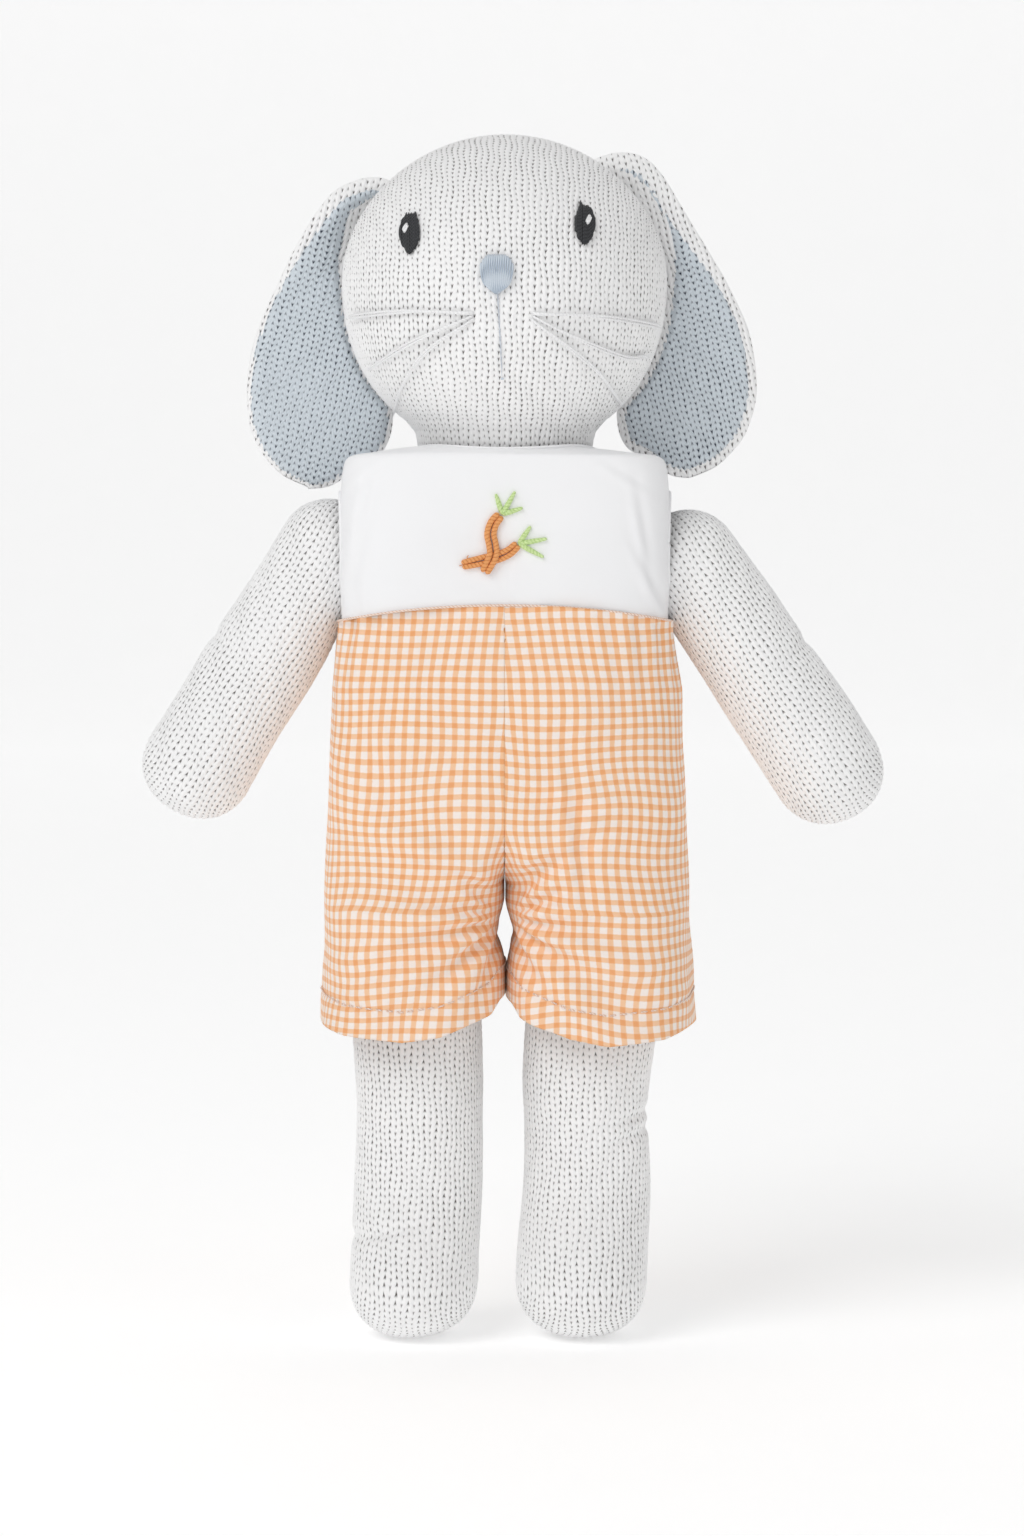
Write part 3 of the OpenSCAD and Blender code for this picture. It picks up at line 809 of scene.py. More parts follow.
def rest_on_floor(obj):
    """Flattens the lowest stitches of a foot where it stands on the floor."""
    co = read(obj.data.vertices, "co")
    co[:, 2] = np.maximum(co[:, 2], 0.0)
    obj.data.vertices.foreach_set("co", co.astype(np.float32).ravel())
    obj.data.update()


def shoulder_drop(y, z):
    """The romper's shoulders are highest in front and fall away towards the back."""
    return 6.5 * smooth(-24, 14, y) * smooth(238, 258, z)


def make_torso():
    """The knitted body inside the romper, open to view only at the armholes and the neck."""
    low, high = box_mm("torso_skin")
    w, d = high[0], high[1]
    top = high[2] - 12
    tube = [(w, 0), (w, low[2] + 8 - top)] + quarter(w, 0.3, low[2] + 8 - top, low[2] + 1 - top)[1:]

    def shape(points):
        x, y, z = xyz(points)
        squash = np.maximum(np.hypot(x, y), 1e-6)
        c, s = np.abs(x) / squash, np.abs(y) / squash
        square = (c**3.2 + s**3.2) ** (-1 / 3.2)
        height = z + top
        slim = mix(0.5, 0.93, smooth(136, 174, height))
        sunk = 0.9 * shoulder_drop(y * d / w, height + 4)
        return np.stack([x * square * 0.96, y * square * d / w * slim, z - sunk], -1), 0

    grids = sock(tube, 11, 2.2, 2.0, 2.0, shape)
    place(grids, (0, 0, top), UPRIGHT)
    torso = cloth_piece("torso", grids, KNIT_WHITE)
    attach(torso, "root", "knit_white", "torso_skin", "torso_stuffing")


# ---------------------------------------------------------------- ears
# Outlines across and up from the doll's middle and the floor. The outer edge goes from the root
# round to the tip, and the inner one starts where the ear leaves the head.
EAR_OUTER = {
    -1: [
        (28, 339), (33, 342), (38.5, 343.3), (44.5, 342.2), (51.7, 338), (60, 326.2),
        (68.2, 310), (74.8, 293.7), (76.6, 277.5), (74.4, 265.7), (67.4, 256.2), (58.5, 251.6),
    ],
    1: [
        (22, 345.5), (27, 348.8), (34, 350.6), (41, 349.2), (46.5, 344), (53.2, 333), (60, 322),
        (66.4, 311), (72.6, 297), (74.8, 280.4), (72, 268.6), (67.8, 262.4), (62.4, 257.6), (55, 254.4),
    ],
}
EAR_INNER_TIP = {
    -1: [
        (33.2, 273), (34.2, 266.5), (37, 261.5), (41.5, 258.8),
        (46, 256.2), (49.6, 253.2), (53.6, 251.6), (58.5, 251.2),
    ],
    1: [(33.2, 273), (34.2, 267), (37, 262.8), (41.5, 260.6), (45.5, 257.4), (50, 255), (55, 254.4)],
}
EAR_Y = sum(box_mm("ear_back_left")[k][1] for k in (0, 1)) / 2 - 1
EAR_HALF_T = 2.9
EAR_LEAN = math.radians(15)
# The lining's stitches are smaller than the white knit's: this many of them to one, across and up
LINING_GAUGE = (1.16, 1.1)


def make_ear(side, sign):
    """An ear is a flat pad: white at the back, rolled round to the front at the edge, lined in blue."""
    outer = curve_through(EAR_OUTER[sign], 260)
    root_z = 332 if sign < 0 else 339
    z = np.linspace(root_z, 277, 12)
    side_x = np.sqrt(profile_radius(z) ** 2 - (EAR_Y - 2) ** 2) + 0.6
    inner = curve_through([EAR_OUTER[sign][0], *zip(side_x, z), *EAR_INNER_TIP[sign]], 260)
    outline = np.vstack([outer, inner[::-1]])
    rows, cols = 150, 96
    a, b = even(outer, rows), even(inner, rows)
    u = (1 - np.cos(np.linspace(0, np.pi, cols))) / 2
    u = mix(np.linspace(0, 1, cols), u, 0.55)
    flat = b[:, None] + (a - b)[:, None] * u[None, :, None]
    x, z = flat[..., 0], flat[..., 1]
    cross = np.broadcast_to(u, x.shape)
    edge = edge_distance(x, z, outline)
    edge[:, 0] = edge[:, -1] = edge[0] = edge[-1] = 0
    s = ((x - 60) * math.cos(EAR_LEAN) + (z - 300) * math.sin(EAR_LEAN)) / (STITCH_W * 0.93)
    t = ((z - 300) * math.cos(EAR_LEAN) - (x - 60) * math.sin(EAR_LEAN)) / STITCH_H
    s, t = wander(s, t)
    top = smooth(300, 340, z)
    cup = 5.0 * top * (1 - smooth(0.0, 0.75, cross)) - 2.0 * top * smooth(0.5, 1.0, cross)
    mid = EAR_Y + cup * smooth(350, 330, z) + 1.2 * np.sin((z - 250) / 24) * smooth(0.2, 1, cross)
    mid = mid + 2.5 * smooth(285, 256, z)
    half = EAR_HALF_T * np.sqrt(np.clip(1 - (1 - np.clip(edge / 5.0, 0, 1)) ** 2, 0, 1))
    puff = half + 0.5 * rolling(x, z * 0, z, 26, 31 + sign) * smooth(2, 9, edge)
    uv = np.stack([s, t], -1)
    relief = knit_lift(s, t, np.full_like(s, 9.0)) * smooth(0, 1.5, edge)
    front = patch(np.stack([x * sign, mid - puff, z], -1), uv, relief)
    back = patch(np.stack([x * sign, mid + puff, z], -1), uv + [PANEL_SHIFT, 0], relief)
    ear = cloth_piece(f"ear_{side}", [front, back], KNIT_WHITE)
    rim = (1.4 if sign < 0 else 2.6) + 2.2 * smooth(305, 334, z)
    inset = smooth(0, 1, (edge - rim) / 1.6)
    keep = edge > rim - 0.2
    keep = keep[:-1, :-1] & keep[1:, :-1] & keep[:-1, 1:] & keep[1:, 1:]
    skin = np.stack([x * sign, mid - puff - mix(-0.4, 0.75, inset), z], -1)
    fine = uv * LINING_GAUGE
    lining_lift = knit_lift(fine[..., 0], fine[..., 1], np.full_like(s, 9.0)) * smooth(0, 1.5, edge)
    lining = cloth_piece(f"ear_lining_{side}_cloth", [patch(skin, fine, lining_lift, keep)], KNIT_BLUE)
    thicken(lining, LINING_T)
    attach(ear, f"{side}_ear", "knit_white", f"ear_back_{side}")
    attach(lining, f"{side}_ear", "knit_blue", f"ear_lining_{side}")


def edge_distance(x, z, outline):
    """How far each point is from an outline."""
    points = np.stack([x.ravel(), z.ravel()], -1)
    best = np.full(len(points), 1e9)
    for o in np.array_split(outline, 20):
        d = np.linalg.norm(points[:, None] - o[None], axis=-1).min(1)
        best = np.minimum(best, d)
    return best.reshape(x.shape)


# ---------------------------------------------------------------- face
# Stitches that stand up at the top of each eye: from and to across the eye, and how much higher
LASHES = {1: (-0.6, -0.3, 0.22), -1: (0.5, 0.8, 0.16)}


def make_eye(side, sign):
    """Dark satin stitches side by side, with a white glint stitched on top."""
    low, high = box_mm(f"eye_{side}")
    cx, cz = (low[0] + high[0]) / 2 - 1.45 * sign, (low[2] + high[2]) / 2 - 1.7 - 0.45 * sign
    half_w, half_h = 2.55, (high[2] - low[2]) / 2
    lash_from, lash_to, lash = LASHES[sign]
    rng = np.random.default_rng(5 + sign)
    lines = []
    for layer, count in ((0, 13), (1, 12)):
        for k in np.linspace(-1, 1, count):
            reach = math.sqrt(max(1 - (abs(k) * 0.93) ** 4, 0.02))
            top = half_h * (0.9 * reach + (lash if lash_from < k < lash_to else 0))
            low_end = -half_h * (0.84 * reach + 0.17 * max(1 - abs(k) * 1.6, 0))
            top, low_end = top + rng.uniform(-0.3, 0.4), low_end - rng.uniform(-0.3, 0.3)
            v = np.linspace(0, 1, 12)
            zz = cz + mix(low_end, top, v)
            xx = cx + k * half_w * (1 - 0.18 * np.abs(2 * v - 1) ** 3) + rng.uniform(-0.12, 0.12)
            lines.append(on_face(xx, zz, 0.35 + 0.35 * layer + 0.35 * np.sin(np.pi * v)))
    eye = thread_piece(f"eye_stitches_{side}", lines, 0.36, THREAD_BLACK)
    stitches = []
    for k in np.linspace(-1, 1, 5):
        reach = math.sqrt(max(1 - (k * 0.85) ** 2, 0.05))
        v = np.linspace(0, 1, 8)
        zz = cz + 1.0 + 1.5 * reach * (2 * v - 1)
        xx = cx + 0.75 * sign + k * 0.5 + 0.3 * (2 * v - 1)
        stitches.append(on_face(xx, zz, 1.25 + 0.25 * np.sin(np.pi * v)))
    glint = thread_piece(f"eye_glint_{side}", stitches, 0.22, THREAD_WHITE)
    attach(eye, "head", "thread_black", f"eye_{side}")
    attach(glint, "head", "thread_white", f"glint_{side}")


def make_nose():
    """Satin stitches that start side by side and meet at the bottom of the nose."""
    low, high = nose_low, nose_high
    half_w, top_z, low_z = (high[0] - low[0]) / 2 - 0.3, high[2] - 1.4, low[2] - 1.0
    rng = np.random.default_rng(8)
    lines = []
    for layer, count in ((0, 17), (1, 15)):
        for k in np.linspace(-1, 1, count):
            v = np.linspace(0, 1, 16)
            top = top_z - 2.4 * abs(k) ** 4 + rng.uniform(-0.15, 0.15)
            x_at = k * half_w * (1 - 0.08 * (1 - v)) * np.cos(v * np.pi / 2 * 0.985) ** 0.24
            z_at = mix(top, low_z + 0.3 + 2.0 * abs(k) ** 2, v)
            bulge = np.sin(np.pi * np.clip(v, 0, 1)) ** 0.7 * math.sqrt(1 - 0.8 * k * k)
            puff = 0.3 + 0.5 * layer + 1.5 * bulge
            lines.append(on_face(FACE_X + x_at, z_at, puff))
    nose = thread_piece("nose_stitches", lines, 0.37, THREAD_BLUE)
    v = np.linspace(0, 1, 40)
    mouth_low, mouth_high = box_mm("mouth_stitch")
    xx = mix(FACE_X + 0.2, mouth_high[0] - 0.4, v)
    zz = mix(low_z + 0.6, mouth_low[2] - 2.2, v)
    strands = [on_face(xx + dx, zz, 0.1 + 0.3 * np.sin(11 * v + dx * 4)) for dx in (-0.1, 0.1)]
    mouth = thread_piece("mouth_thread", strands, 0.13, THREAD_PALE, sides=6)
    knot = [on_face(xx[-1] + dx * np.linspace(-1, 1, 5), np.full(5, zz[-1]), 0.35) for dx in (0.35, 0.5)]
    dot = thread_piece("mouth_knot", knot, 0.3, THREAD_BLUE, sides=6)
    attach(nose, "head", "thread_blue", "nose")
    attach(mouth, "head", "thread_blue", "mouth_stitch")
    attach(dot, "head", "thread_blue")


# Routes of the whiskers: out from the middle of the face, and up from where they start
WHISKERS = {
    1: (
        ((7.5, 0), (26, -0.4), (44.3, -3.2)),
        ((7.7, -0.7), (19, -6), (33.9, -12), (41.2, -11.6)),
        ((7.2, -1.3), (19.5, -10.4), (27.5, -17.4), (33.6, -25.4)),
    ),
    -1: (
        ((8.8, 0), (26, 1.1), (44.6, -0.5)),
        ((9, -0.7), (24, -6.7), (38.9, -15.4)),
        ((8.6, -1.3), (21.5, -10), (29.2, -20.5), (32, -28)),
    ),
}


def make_whiskers(side, sign):
    """Three long stitches on each cheek, of doubled white thread, whose ends stand off a little."""
    lines = []
    for i, route in enumerate(WHISKERS[sign]):
        line = curve_through(route, 46)
        v = np.linspace(0, 1, 46)
        for k, dz in enumerate((-0.3, 0.3)):
            spread = dz * (0.5 + 0.8 * v) + 0.16 * np.sin(7 * v + i + 2 * k)
            clear = 0.75 + 0.35 * np.sin(np.pi * v) + 0.1 * k
            clear = clear - 0.9 * (1 - smooth(0, 0.06, v)) + 0.5 * smooth(0.93, 1, v)
            lines.append(on_face(sign * line[:, 0], WHISKER_Z + line[:, 1] + spread, clear))
    thread = thread_piece(f"whisker_threads_{side}", lines, 0.36, THREAD_WHITE, sides=6)
    attach(thread, "head", "thread_white", f"whiskers_{side}")


# ---------------------------------------------------------------- romper
BODICE_POWER = 4.0
NECK_HOLE_R = 28.6
WALL_TOP_Z = 240


def square_loop(w, d, e):
    """A rounded rectangle seen from above, from the back middle round by the doll's left side."""
    a = np.linspace(-np.pi / 2, 1.5 * np.pi, 900)
    return np.stack([w * power(np.cos(a), 2 / e), -d * power(np.sin(a), 2 / e)], -1)


WAIST_RISE = 5.4


def waist_height(x, y):
    """The waist seam rises in front, and a little behind."""
    ahead = np.clip(-y / SHORTS_D, 0, 1)
    front = 6.3 * ahead * np.clip(1 - (x / 60) ** 2, 0, 1)
    return WAIST_Z + WAIST_RISE + front + 2.0 * np.clip(y / SHORTS_D, 0, 1)


# From the wall to the neck: the share of the way inward, and the share of the height above the wall
SHOULDER_SLOPE = (
    (0, 0), (0.005, 0.4), (0.015, 0.66), (0.035, 0.81),
    (0.09, 0.88), (0.28, 0.91), (0.6, 0.95), (1, 1),
)


class Bodice:
    """The bodice's surface: u is the distance round from the back middle, b the distance up."""

    def __init__(self):
        loop = square_loop(BODICE_W - 0.3, BODICE_D - 0.5, BODICE_POWER)
        self.along = lengths(loop)
        self.loop = loop
        self.round = self.along[-1]
        slope = curve_through(SHOULDER_SLOPE, 80)
        self.inward, self.upward = slope[:, 0], slope[:, 1]
        shoulder = np.stack([20 * self.inward, (NECKLINE_Z - WALL_TOP_Z) * self.upward], -1)
        self.arc = lengths(shoulder)
        self.wall = WALL_TOP_Z - WAIST_Z
        self.high = self.wall + self.arc[-1]

    def point(self, u, b):
        x = np.interp(u, self.along, self.loop[:, 0])
        y = np.interp(u, self.along, self.loop[:, 1])
        foot = waist_height(x, y)
        angle = np.arctan2(y, x)
        ring_x, ring_y = NECK_HOLE_R * np.cos(angle), NECK_HOLE_R * np.sin(angle)
        up = np.clip(b / self.wall, 0, 1)
        top = np.clip(b - self.wall, 0, None)
        inward = np.interp(top, self.arc, self.inward)
        upward = np.interp(top, self.arc, self.upward)
        swell = 1 + 0.012 * np.sin(np.pi * np.clip(b / self.high, 0, 1))
        z = np.where(b <= self.wall, mix(foot, WALL_TOP_Z, up), mix(WALL_TOP_Z, NECKLINE_Z - 0.5, upward))
        dip = 1.4 * np.clip(-ring_y / NECK_HOLE_R, 0, 1) ** 3 * smooth(0.5, 1, inward)
        px, py = mix(x * swell, ring_x, inward), mix(y * swell, ring_y, inward)
        return np.stack([px, py, z - dip - shoulder_drop(py, z)], -1)


def fold(x, z, at, angle, length, width, depth):
    """A soft crease in a panel seen from the front: a hollow with a ridge beside it."""
    a = math.radians(angle)
    along = (x - at[0]) * math.cos(a) + (z - at[1]) * math.sin(a)
    off = -(x - at[0]) * math.sin(a) + (z - at[1]) * math.cos(a)
    shape = hump(off, width) - 0.8 * hump(off - 1.7 * width, width)
    return -depth * shape * hump(along, length)


ARMHOLE_HALF_W = 15.8
ARMHOLE_LOW = 9.0
ARMHOLE_HIGH = 47.0
ARMHOLE_POWER = 2.5


def make_bodice():
    """White cotton, with open armholes and neck and a buttoned opening at the back."""
    surface = Bodice()
    cols, rows = 420, 130
    u, b = np.meshgrid(np.linspace(0, surface.round, cols), np.linspace(0, surface.high, rows))
    centre_b, half_b = (ARMHOLE_LOW + ARMHOLE_HIGH) / 2, (ARMHOLE_HIGH - ARMHOLE_LOW) / 2
    keep = np.ones((rows - 1, cols - 1), bool)
    for centre_u in (surface.round * 0.25, surface.round * 0.75):
        du, db = (u - centre_u) / ARMHOLE_HALF_W, (b - centre_b) / half_b
        inside = (np.abs(du) ** ARMHOLE_POWER + np.abs(db) ** ARMHOLE_POWER) ** (1 / ARMHOLE_POWER)
        middle = (inside[:-1, :-1] + inside[1:, :-1] + inside[:-1, 1:] + inside[1:, 1:]) / 4
        open_cell = middle < 1
        keep &= ~open_cell
        touches = np.zeros((rows, cols), int)
        for cell, sign in ((open_cell, 1), (~open_cell, 2)):
            for dy in (0, 1):
                for dx in (0, 1):
                    touches[dy:rows - 1 + dy, dx:cols - 1 + dx] |= cell * sign
        edge = touches == 3
        scale = np.where(edge, 1 / np.maximum(inside, 1e-6), 1)
        u = np.where(edge, centre_u + (u - centre_u) * scale, u)
        b = np.where(edge, centre_b + (b - centre_b) * scale, b)
    points = surface.point(u, b)
    x, y, z = xyz(points)
    front = smooth(5, 15, -y)
    lift = 0.35 * rolling(x, y, z, 26, 41) * smooth(0, 8, b)
    for at, angle, length, width, depth in (
        ((-41.5, 245), 80, 9, 1.3, 0.55), ((-42, 233), 75, 12, 1.6, 0.5), ((-38, 256), 35, 7, 1.4, 0.35),
        ((41, 240), 100, 12, 1.5, 0.6), ((44, 224), 118, 11, 1.6, 0.7), ((36, 256), 150, 8, 1.4, 0.35),
        ((-43, 217), 100, 8, 1.6, 0.5), ((12, 214), 80, 9, 2.0, 0.2),
    ):
        lift = lift + front * fold(x, z, at, angle, length, width, depth)
    lift = lift - 0.12 * hump(x - 1.5, 0.5) * front * (z < 231)
    uv = np.stack([u, b], -1)
    bodice = cloth_piece("bodice", [patch(points, uv, lift, keep)], COTTON)
    thicken(bodice, COTTON_T)
    hems = []
    turn = np.linspace(0, 2 * np.pi, 160)
    for centre_u in (surface.round * 0.25, surface.round * 0.75):
        hu = centre_u + ARMHOLE_HALF_W * power(np.cos(turn), 2 / ARMHOLE_POWER)
        hb = centre_b + half_b * power(np.sin(turn), 2 / ARMHOLE_POWER)
        hems.append(surface.point(hu, hb))
    hems.append(surface.point(np.linspace(0, surface.round, 220), np.full(220, surface.high)))
    edges = thread_piece("bodice_edges", [even(h, 200) for h in hems], 0.52, COTTON)
    lap_u = np.linspace(-0.5, 9.9, 18)
    lu, lb = np.meshgrid(lap_u % surface.round, np.linspace(0.6, surface.high - 0.2, 90))
    lap_points = surface.point(lu, lb)
    from_edge = np.broadcast_to(lap_u, lu.shape)
    lap_lift = 0.75 * smooth(-0.5, 0.6, from_edge) * smooth(9.9, 9.0, from_edge)
    lap = patch(lap_points - [4.0, 0, 0], np.stack([lu, lb], -1), lap_lift)
    flap = cloth_piece("back_placket", [lap], COTTON)
    thicken(flap, PLACKET_T)
    attach(bodice, "root", "cotton_white", "bodice_front", "bodice_back_left", "bodice_back_right")
    attach(edges, "root", "cotton_white")
    attach(flap, "root", "cotton_white")
    return bodice


def shorts_width(z, sign):
    """Half the shorts' width at a height; the doll's right side is a little slimmer."""
    heights = [HEM_Z, 110, 135, 165, 190, WAIST_Z]
    slimmer = np.interp(z, heights, [1.0, 2.3, 2.0, 1.7, 1.2, 0]) if sign < 0 else 0
    return np.interp(z, heights, [HEM_W + 1.1, 55.2, 54, 53.2, 52, 49]) - slimmer


# Between these points, in metres, the shorts go over from the body to the leg
HEM_FOLD = 9.0
CROTCH_Z = HIP[2] - 3.5
RISE_TOP_Z = CROTCH_Z + 18


def half_loop(w, d, e, front):
    """From the side seam to the middle, at the front or the back: the body above the crotch."""
    a = np.linspace(0, np.pi / 2, 260)
    return np.stack([w * np.cos(a) ** (2 / e), (-d if front else d) * np.sin(a) ** (2 / e)], -1)


def leg_loop(inner, w, d, e, front):
    """From the side seam round to the inside leg seam: one leg below the crotch."""
    a = np.linspace(0, np.pi, 400)
    centre, half = (inner + w) / 2, (w - inner) / 2
    x = centre + half * power(np.cos(a), 2 / e)
    return np.stack([x, (-d if front else d) * np.abs(np.sin(a)) ** (2 / e)], -1)


def walk(line, distance):
    along = lengths(line)
    at = np.clip(distance, 0, along[-1])
    return np.stack([np.interp(at, along, line[:, k]) for k in (0, 1)], -1), along[-1]


# How far the hem rises above its lowest place, by the distance from the doll's middle
HEM_RISE = ((0, 12), (2, 11), (5, 7.5), (19, 1.8), (30, 0), (47, 1.6), (57, 4.2))


def hem_height(x, sign):
    """The hem is lowest at the front of each leg, and rises to the side and to the inside leg."""
    lowest = HEM_Z + (0.9 if sign > 0 else 1.9)
    return lowest + np.interp(np.abs(x), *zip(*HEM_RISE))


def make_shorts(side, sign):
    """One half of the gingham shorts, from the waist seam over the hip to the open hem."""
    rows, half_cols = 176, 138
    down = np.linspace(0, 1, rows)
    c = np.linspace(0, 1, half_cols)
    grids = []
    for front in (True, False):
        points = np.zeros((rows, half_cols, 3))
        uv = np.zeros((rows, half_cols, 2))
        for i, v in enumerate(down):
            z0 = mix(WAIST_Z + 3, HEM_Z + 1.5, v)
            w = float(shorts_width(z0, sign))
            d = SHORTS_D * (0.965 + 0.03 * math.sin(math.pi * v))
            apart = float(smooth(CROTCH_Z - 5, CROTCH_Z - 16, z0) * smooth(HEM_Z + 8, HEM_Z + 24, z0))
            gap = 0.1 + 2.5 * apart
            body = half_loop(w, d, 3.3, front)
            leg = leg_loop(gap, w, d, 2.75, front)
            body_len, leg_len = lengths(body)[-1], lengths(leg)[-1]
            a_body = c * body_len
            a_leg = c * body_len + (leg_len - body_len) * c**4
            fall = min(max((RISE_TOP_Z - z0) / (RISE_TOP_Z - CROTCH_Z), 0), 1)
            share = 1 - math.sqrt(1 - fall**2)
            p = mix(walk(body, a_body)[0], walk(leg, a_leg)[0], share)
            waist = waist_height(p[:, 0], p[:, 1])
            hem = hem_height(p[:, 0], sign)
            points[i, :, :2] = p
            points[i, :, 2] = mix(waist, hem, v)
            uv[i, :, 0] = (mix(a_body, a_leg, share)) * (-1 if front else 1)
            uv[i, :, 1] = points[i, :, 2]
        x, y, z = xyz(points)
        loose = smooth(WAIST_Z, WAIST_Z - 40, z)
        pull = 4.0 * np.exp(-np.hypot(x, z - CROTCH_Z) / 13)
        uv[..., 0] += (0.3 + 0.6 * loose) * rolling(x, y, z, 17, 61 + sign)
        uv[..., 1] += (0.3 + 0.7 * loose) * rolling(x, y, z, 19, 65 + sign) - pull
        lift = shorts_folds(x, y, z, uv[..., 0], sign, front)
        points[..., 0] *= sign
        grids.append(patch(points, uv + [sign * 1.3, 0], lift))
    shorts = cloth_piece(f"shorts_{side}", grids, GINGHAM, weld=0.02)
    thicken(shorts, GINGHAM_T)
    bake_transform(shorts)
    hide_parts(f"shorts_top_{side}", f"shorts_leg_{side}")
    return shorts


# Creases in front: middle, direction in degrees, length, width and how far each stands out
CREASES = {
    1: (
        ((16, 144), 30, 15, 3.2, 2.8), ((18, 160), -12, 12, 2.4, 1.2),
        ((22, 150), 97, 22, 2.6, 1.3), ((33, 104), 15, 16, 3.2, 0.8),
    ),
    -1: (
        ((18, 138), 25, 18, 3.8, 3.2), ((27, 118), -28, 20, 3.2, 1.6), ((38, 172), 70, 18, 3.0, 0.5),
    ),
}


def shorts_folds(x, y, z, u, sign, front):
    """How far the cloth stands out: gathers at the waist, drag folds from the crotch, soft waves."""
    seed = 51 if sign > 0 else 52
    lift = 1.0 * rolling(x, y, z, 30, seed) + 0.42 * rolling(x, y, z, 13, seed + 3)
    side = smooth(18, 44, x)
    gather = np.sin(u * 2 * np.pi / 7.5 + 1.7 * np.sin(u / 11)) * np.exp(-np.maximum(WAIST_Z + 2 - z, 0) / 16)
    lift = lift + 0.55 * gather * (0.25 + 0.75 * side)
    rho = np.hypot(x, z - CROTCH_Z)
    ray = np.degrees(np.arctan2(z - CROTCH_Z, np.maximum(x, 0.01)))
    fan = 0
    for centre, width, depth, reach in (
        (-78, 9, 2.2, 34), (-52, 10, 3.0, 30), (-24, 9, 2.9, 32), (8, 10, 2.5, 32), (38, 10, 1.8, 30)
    ):
        shift = centre + (4 if sign > 0 else -5)
        fan = fan + depth * hump(ray - shift, width) * hump(rho - 14, reach)
        fan = fan - 0.8 * depth * hump(ray - shift - 1.5 * width, width) * hump(rho, reach)
    lift = lift + fan * smooth(2, 9, rho) * (1.0 if front else 0.7) * (1 - smooth(42, 53, x))
    if front:
        for crease in CREASES[sign]:
            lift = lift + fold(x, z, *crease)
    hem = smooth(HEM_Z + 14, HEM_Z + 3, z)
    stitched = hump(z - hem_height(x, sign) - HEM_FOLD, 1.1)
    lift = lift + 0.7 * hem * np.sin(u / 7.5 + sign) - 0.4 * stitched
    lift = lift * mix(0.2, 1, smooth(0.5, 10, x))
    lift = np.where(lift < 0, 2.5 * np.tanh(lift / 2.5), 3.2 * np.tanh(lift / 3.2))
    return lift * smooth(0, 3.5, np.maximum(x, (CROTCH_Z - z)))


# ---------------------------------------------------------------- stitching on the romper
def on_cloth(obj, x, z, out):
    """Points on the front of a piece of cloth, out from it by a distance."""
    found = []
    for px, pz, po in zip(*np.broadcast_arrays(x, z, out)):
        hit, at = obj.ray_cast(Vector((px, -200, pz)) * MM, Vector((0, 1, 0)))[:2]
        if not hit:
            raise ValueError(f"no cloth of {obj.name} at {px:.1f}, {pz:.1f}")
        found.append(np.array(at) / MM - np.array([0, po, 0]))
    return np.array(found)


def make_embroidery(bodice):
    """Two crossed carrots of doubled, padded rolls of thread, with leaves in straight stitches."""
    bpy.context.view_layer.update()
    mid_x = -1.0
    mid_z = box_mm("carrot_upright")[1][2] - 9.3
    upright = [(-0.2, 8.6), (-2.2, 6.2), (-3.1, 3), (-2.5, -0.4), (-2.5, -3.4), (-4.9, -8.2)]
    cross = [(-11.4, -5.9), (-8, -5.2), (-4.6, -4.4), (-0.9, -3.6), (2.2, -2.2), (4.8, 0.1)]

    def roll_pair(route, apart, lift, over):
        line = curve_through(route, 60)
        tangent = np.gradient(line, axis=0)
        tangent /= np.linalg.norm(tangent, axis=1, keepdims=True)
        across = np.stack([-tangent[:, 1], tangent[:, 0]], -1)
        v = np.linspace(0, 1, 60)
        lines = []
        for s in (-1, 1):
            near = mix(0.62, 1.0, np.sin(np.pi * np.clip(v, 0.02, 0.98)) ** 0.5)
            p = line + across * (s * apart * near)[:, None]
            height = lift + over * hump(line[:, 1] + 4, 3.2)
            lines.append(on_cloth(bodice, mid_x + p[:, 0], mid_z + p[:, 1], height))
        return lines

    carrots = (
        ("carrot_upright", roll_pair(upright, 1.0, 0.75, 0.95), 0.86),
        ("carrot_cross", roll_pair(cross, 0.92, 0.6, 0.0), 0.78),
    )
    leaves = (
        ("greens_upper", (0.3, 8.7), ((-1.6, 14.6), (4.0, 15.3), (6.2, 10.6))),
        ("greens_lower", (5.0, 0.2), ((8.5, 5.3), (13.2, 1.7), (12.3, -3.7))),
    )
    made = []
    for name, lines, r in carrots:
        rolls = thread_piece(f"{name}_rolls", lines, r, THREAD_ORANGE, sides=14)
        made.append(((name,), rolls, "thread_orange"))
    for name, base, tips in leaves:
        lines = []
        for tip in tips:
            v = np.linspace(0, 1, 26)
            bx, bz = mix(base[0], tip[0], v), mix(base[1], tip[1], v)
            across = np.array([-(tip[1] - base[1]), tip[0] - base[0]]) / math.dist(base, tip)
            for k in (-1, 0, 1):
                wide = 0.34 * k * np.sin(np.pi * v**0.7)
                rise = 0.45 + (0.28 if k == 0 else 0) + 0.12 * np.sin(22 * v + k)
                at_x, at_z = mid_x + bx + across[0] * wide, mid_z + bz + across[1] * wide
                lines.append(on_cloth(bodice, at_x, at_z, rise))
        made.append(((name,), thread_piece(f"{name}_leaves", lines, 0.42, THREAD_GREEN), "thread_green"))
    tail = curve_through([(-12.2, -6.2), (-11.6, -6.0), (-11.0, -5.8)], 8)
    stray = curve_through([(-9.6, -4.4), (-9.9, -3.6), (-9.4, -3.1)], 8)
    ends = [on_cloth(bodice, mid_x + p[:, 0], mid_z + p[:, 1], 0.5) for p in (tail, stray)]
    made.append(((), thread_piece("carrot_thread_ends", ends, 0.13, THREAD_ORANGE, sides=6), "thread_orange"))
    for name, piece, slot in made:
        attach(piece, "root", slot, *name)


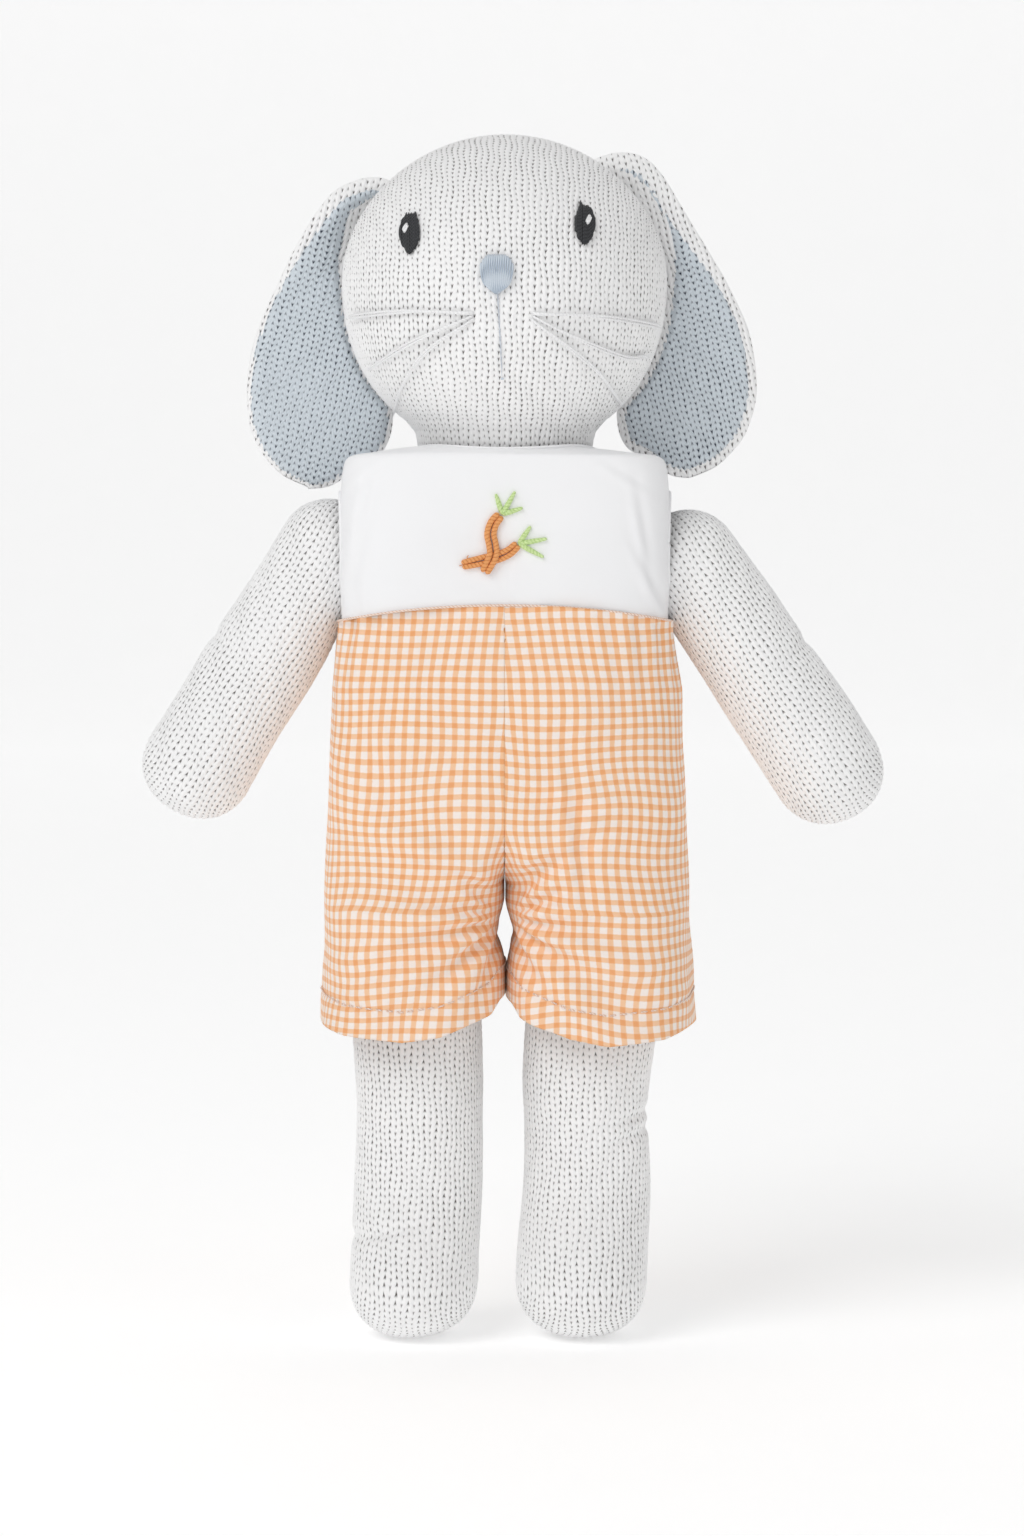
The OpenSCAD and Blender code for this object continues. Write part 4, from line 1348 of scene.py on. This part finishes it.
def make_waist_seam():
    """The thin coloured line where the shorts are sewn to the bodice."""
    loop = square_loop(BODICE_W + 0.75, BODICE_D + 0.15, BODICE_POWER)[:-1]
    z = waist_height(loop[:, 0], loop[:, 1]) - 0.15
    line = even(np.column_stack([loop, z]), 420)
    seam = thread_piece("waist_seam", [np.vstack([line, line[:1]])], 0.34, THREAD_HEM)
    attach(seam, "root", "thread_orange", "waist_piping")


def make_centre_seam():
    """Thread along the middle seam of the shorts, in front and behind, down to the loose part."""
    lines = []
    for front in (-1, 1):
        z = np.linspace(WAIST_Z + 5, RISE_TOP_Z, 160)
        y = front * (SHORTS_D * 0.972 - 0.1)
        line = np.stack([0.12 * np.sin(z * 1.3), np.full_like(z, y), z], -1)
        lines += [line[k:k + 5] for k in range(0, 155, 7)]
    seam = thread_piece("centre_seam", lines, 0.22, THREAD_SEAM, sides=6)
    attach(seam, "root", "thread_orange")


def make_hem_stitches(side, sign, shorts):
    """Running stitches that hold the hem's fold, on the outside of the cloth."""
    co, normal = read(shorts.data.vertices, "co") / MM, read(shorts.data.vertex_normals, "vector")
    near = np.abs(co[:, 2] - hem_height(co[:, 0], sign) - HEM_FOLD) < 1.0
    co, normal = co[near], normal[near]
    middle = co[:, :2].mean(0)
    angle = np.arctan2(co[:, 1] - middle[1], co[:, 0] - middle[0])
    order = np.argsort(angle)
    at = np.linspace(-np.pi, np.pi, 400)
    ring = [np.interp(at, angle[order], co[order][:, k], period=2 * np.pi) for k in (0, 1)]
    out = [np.interp(at, angle[order], normal[order][:, k], period=2 * np.pi) for k in (0, 1)]
    height = hem_height(ring[0], sign) + HEM_FOLD
    line = np.stack([ring[0] + 0.2 * out[0], ring[1] + 0.2 * out[1], height], -1)
    line = even(line, 1200)
    along = lengths(line)
    stitches, pitch, share = [], 3.1, 0.72
    for k in range(int(along[-1] / pitch)):
        inside = (along >= k * pitch) & (along <= (k + share) * pitch)
        if inside.sum() > 3:
            stitches.append(line[inside])
    thread = thread_piece(f"hem_stitches_{side}", stitches, 0.26, THREAD_HEM, sides=6)
    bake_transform(thread)
    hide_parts(f"hem_thread_{side}")


def make_buttons():
    """The CAD buttons stay; crossed thread holds each one on."""
    buttons = frame["nodes"]["back_buttons"]
    buttons.data.materials.clear()
    buttons.data.materials.append(BUTTON)
    low, high = box_mm("back_buttons")
    r = (high[0] - low[0]) / 2
    v = np.linspace(-1, 1, 9)
    lines = []
    for z in np.linspace(low[2] + r, high[2] - r, 3):
        for dx, dz in ((1.3, 1.3), (-1.3, 1.3)):
            for off in (-0.2, 0.2):
                depth = high[1] - 0.35 + 0.5 * (1 - v**2)
                lines.append(np.stack([v * dx + off, depth, z + v * dz], -1))
    thread = thread_piece("button_threads", lines, 0.22, THREAD_WHITE, sides=6)
    attach(thread, "root", "thread_white")


THREAD_SEAM = thread_material("thread_seam", rgb(222, 158, 100), rgb(170, 106, 58))
THREAD_HEM = thread_material("thread_hem", rgb(252, 238, 228), rgb(226, 180, 150))


make_head()
for side, sign in SIDES:
    make_arm(side, sign)
    make_leg(side, sign)
    make_ear(side, sign)
    make_eye(side, sign)
    make_whiskers(side, sign)
make_torso()
make_nose()
bodice = make_bodice()
make_embroidery(bodice)
make_buttons()
for side, sign in SIDES:
    shorts = make_shorts(side, sign)
    make_hem_stitches(side, sign, shorts)
make_waist_seam()
make_centre_seam()
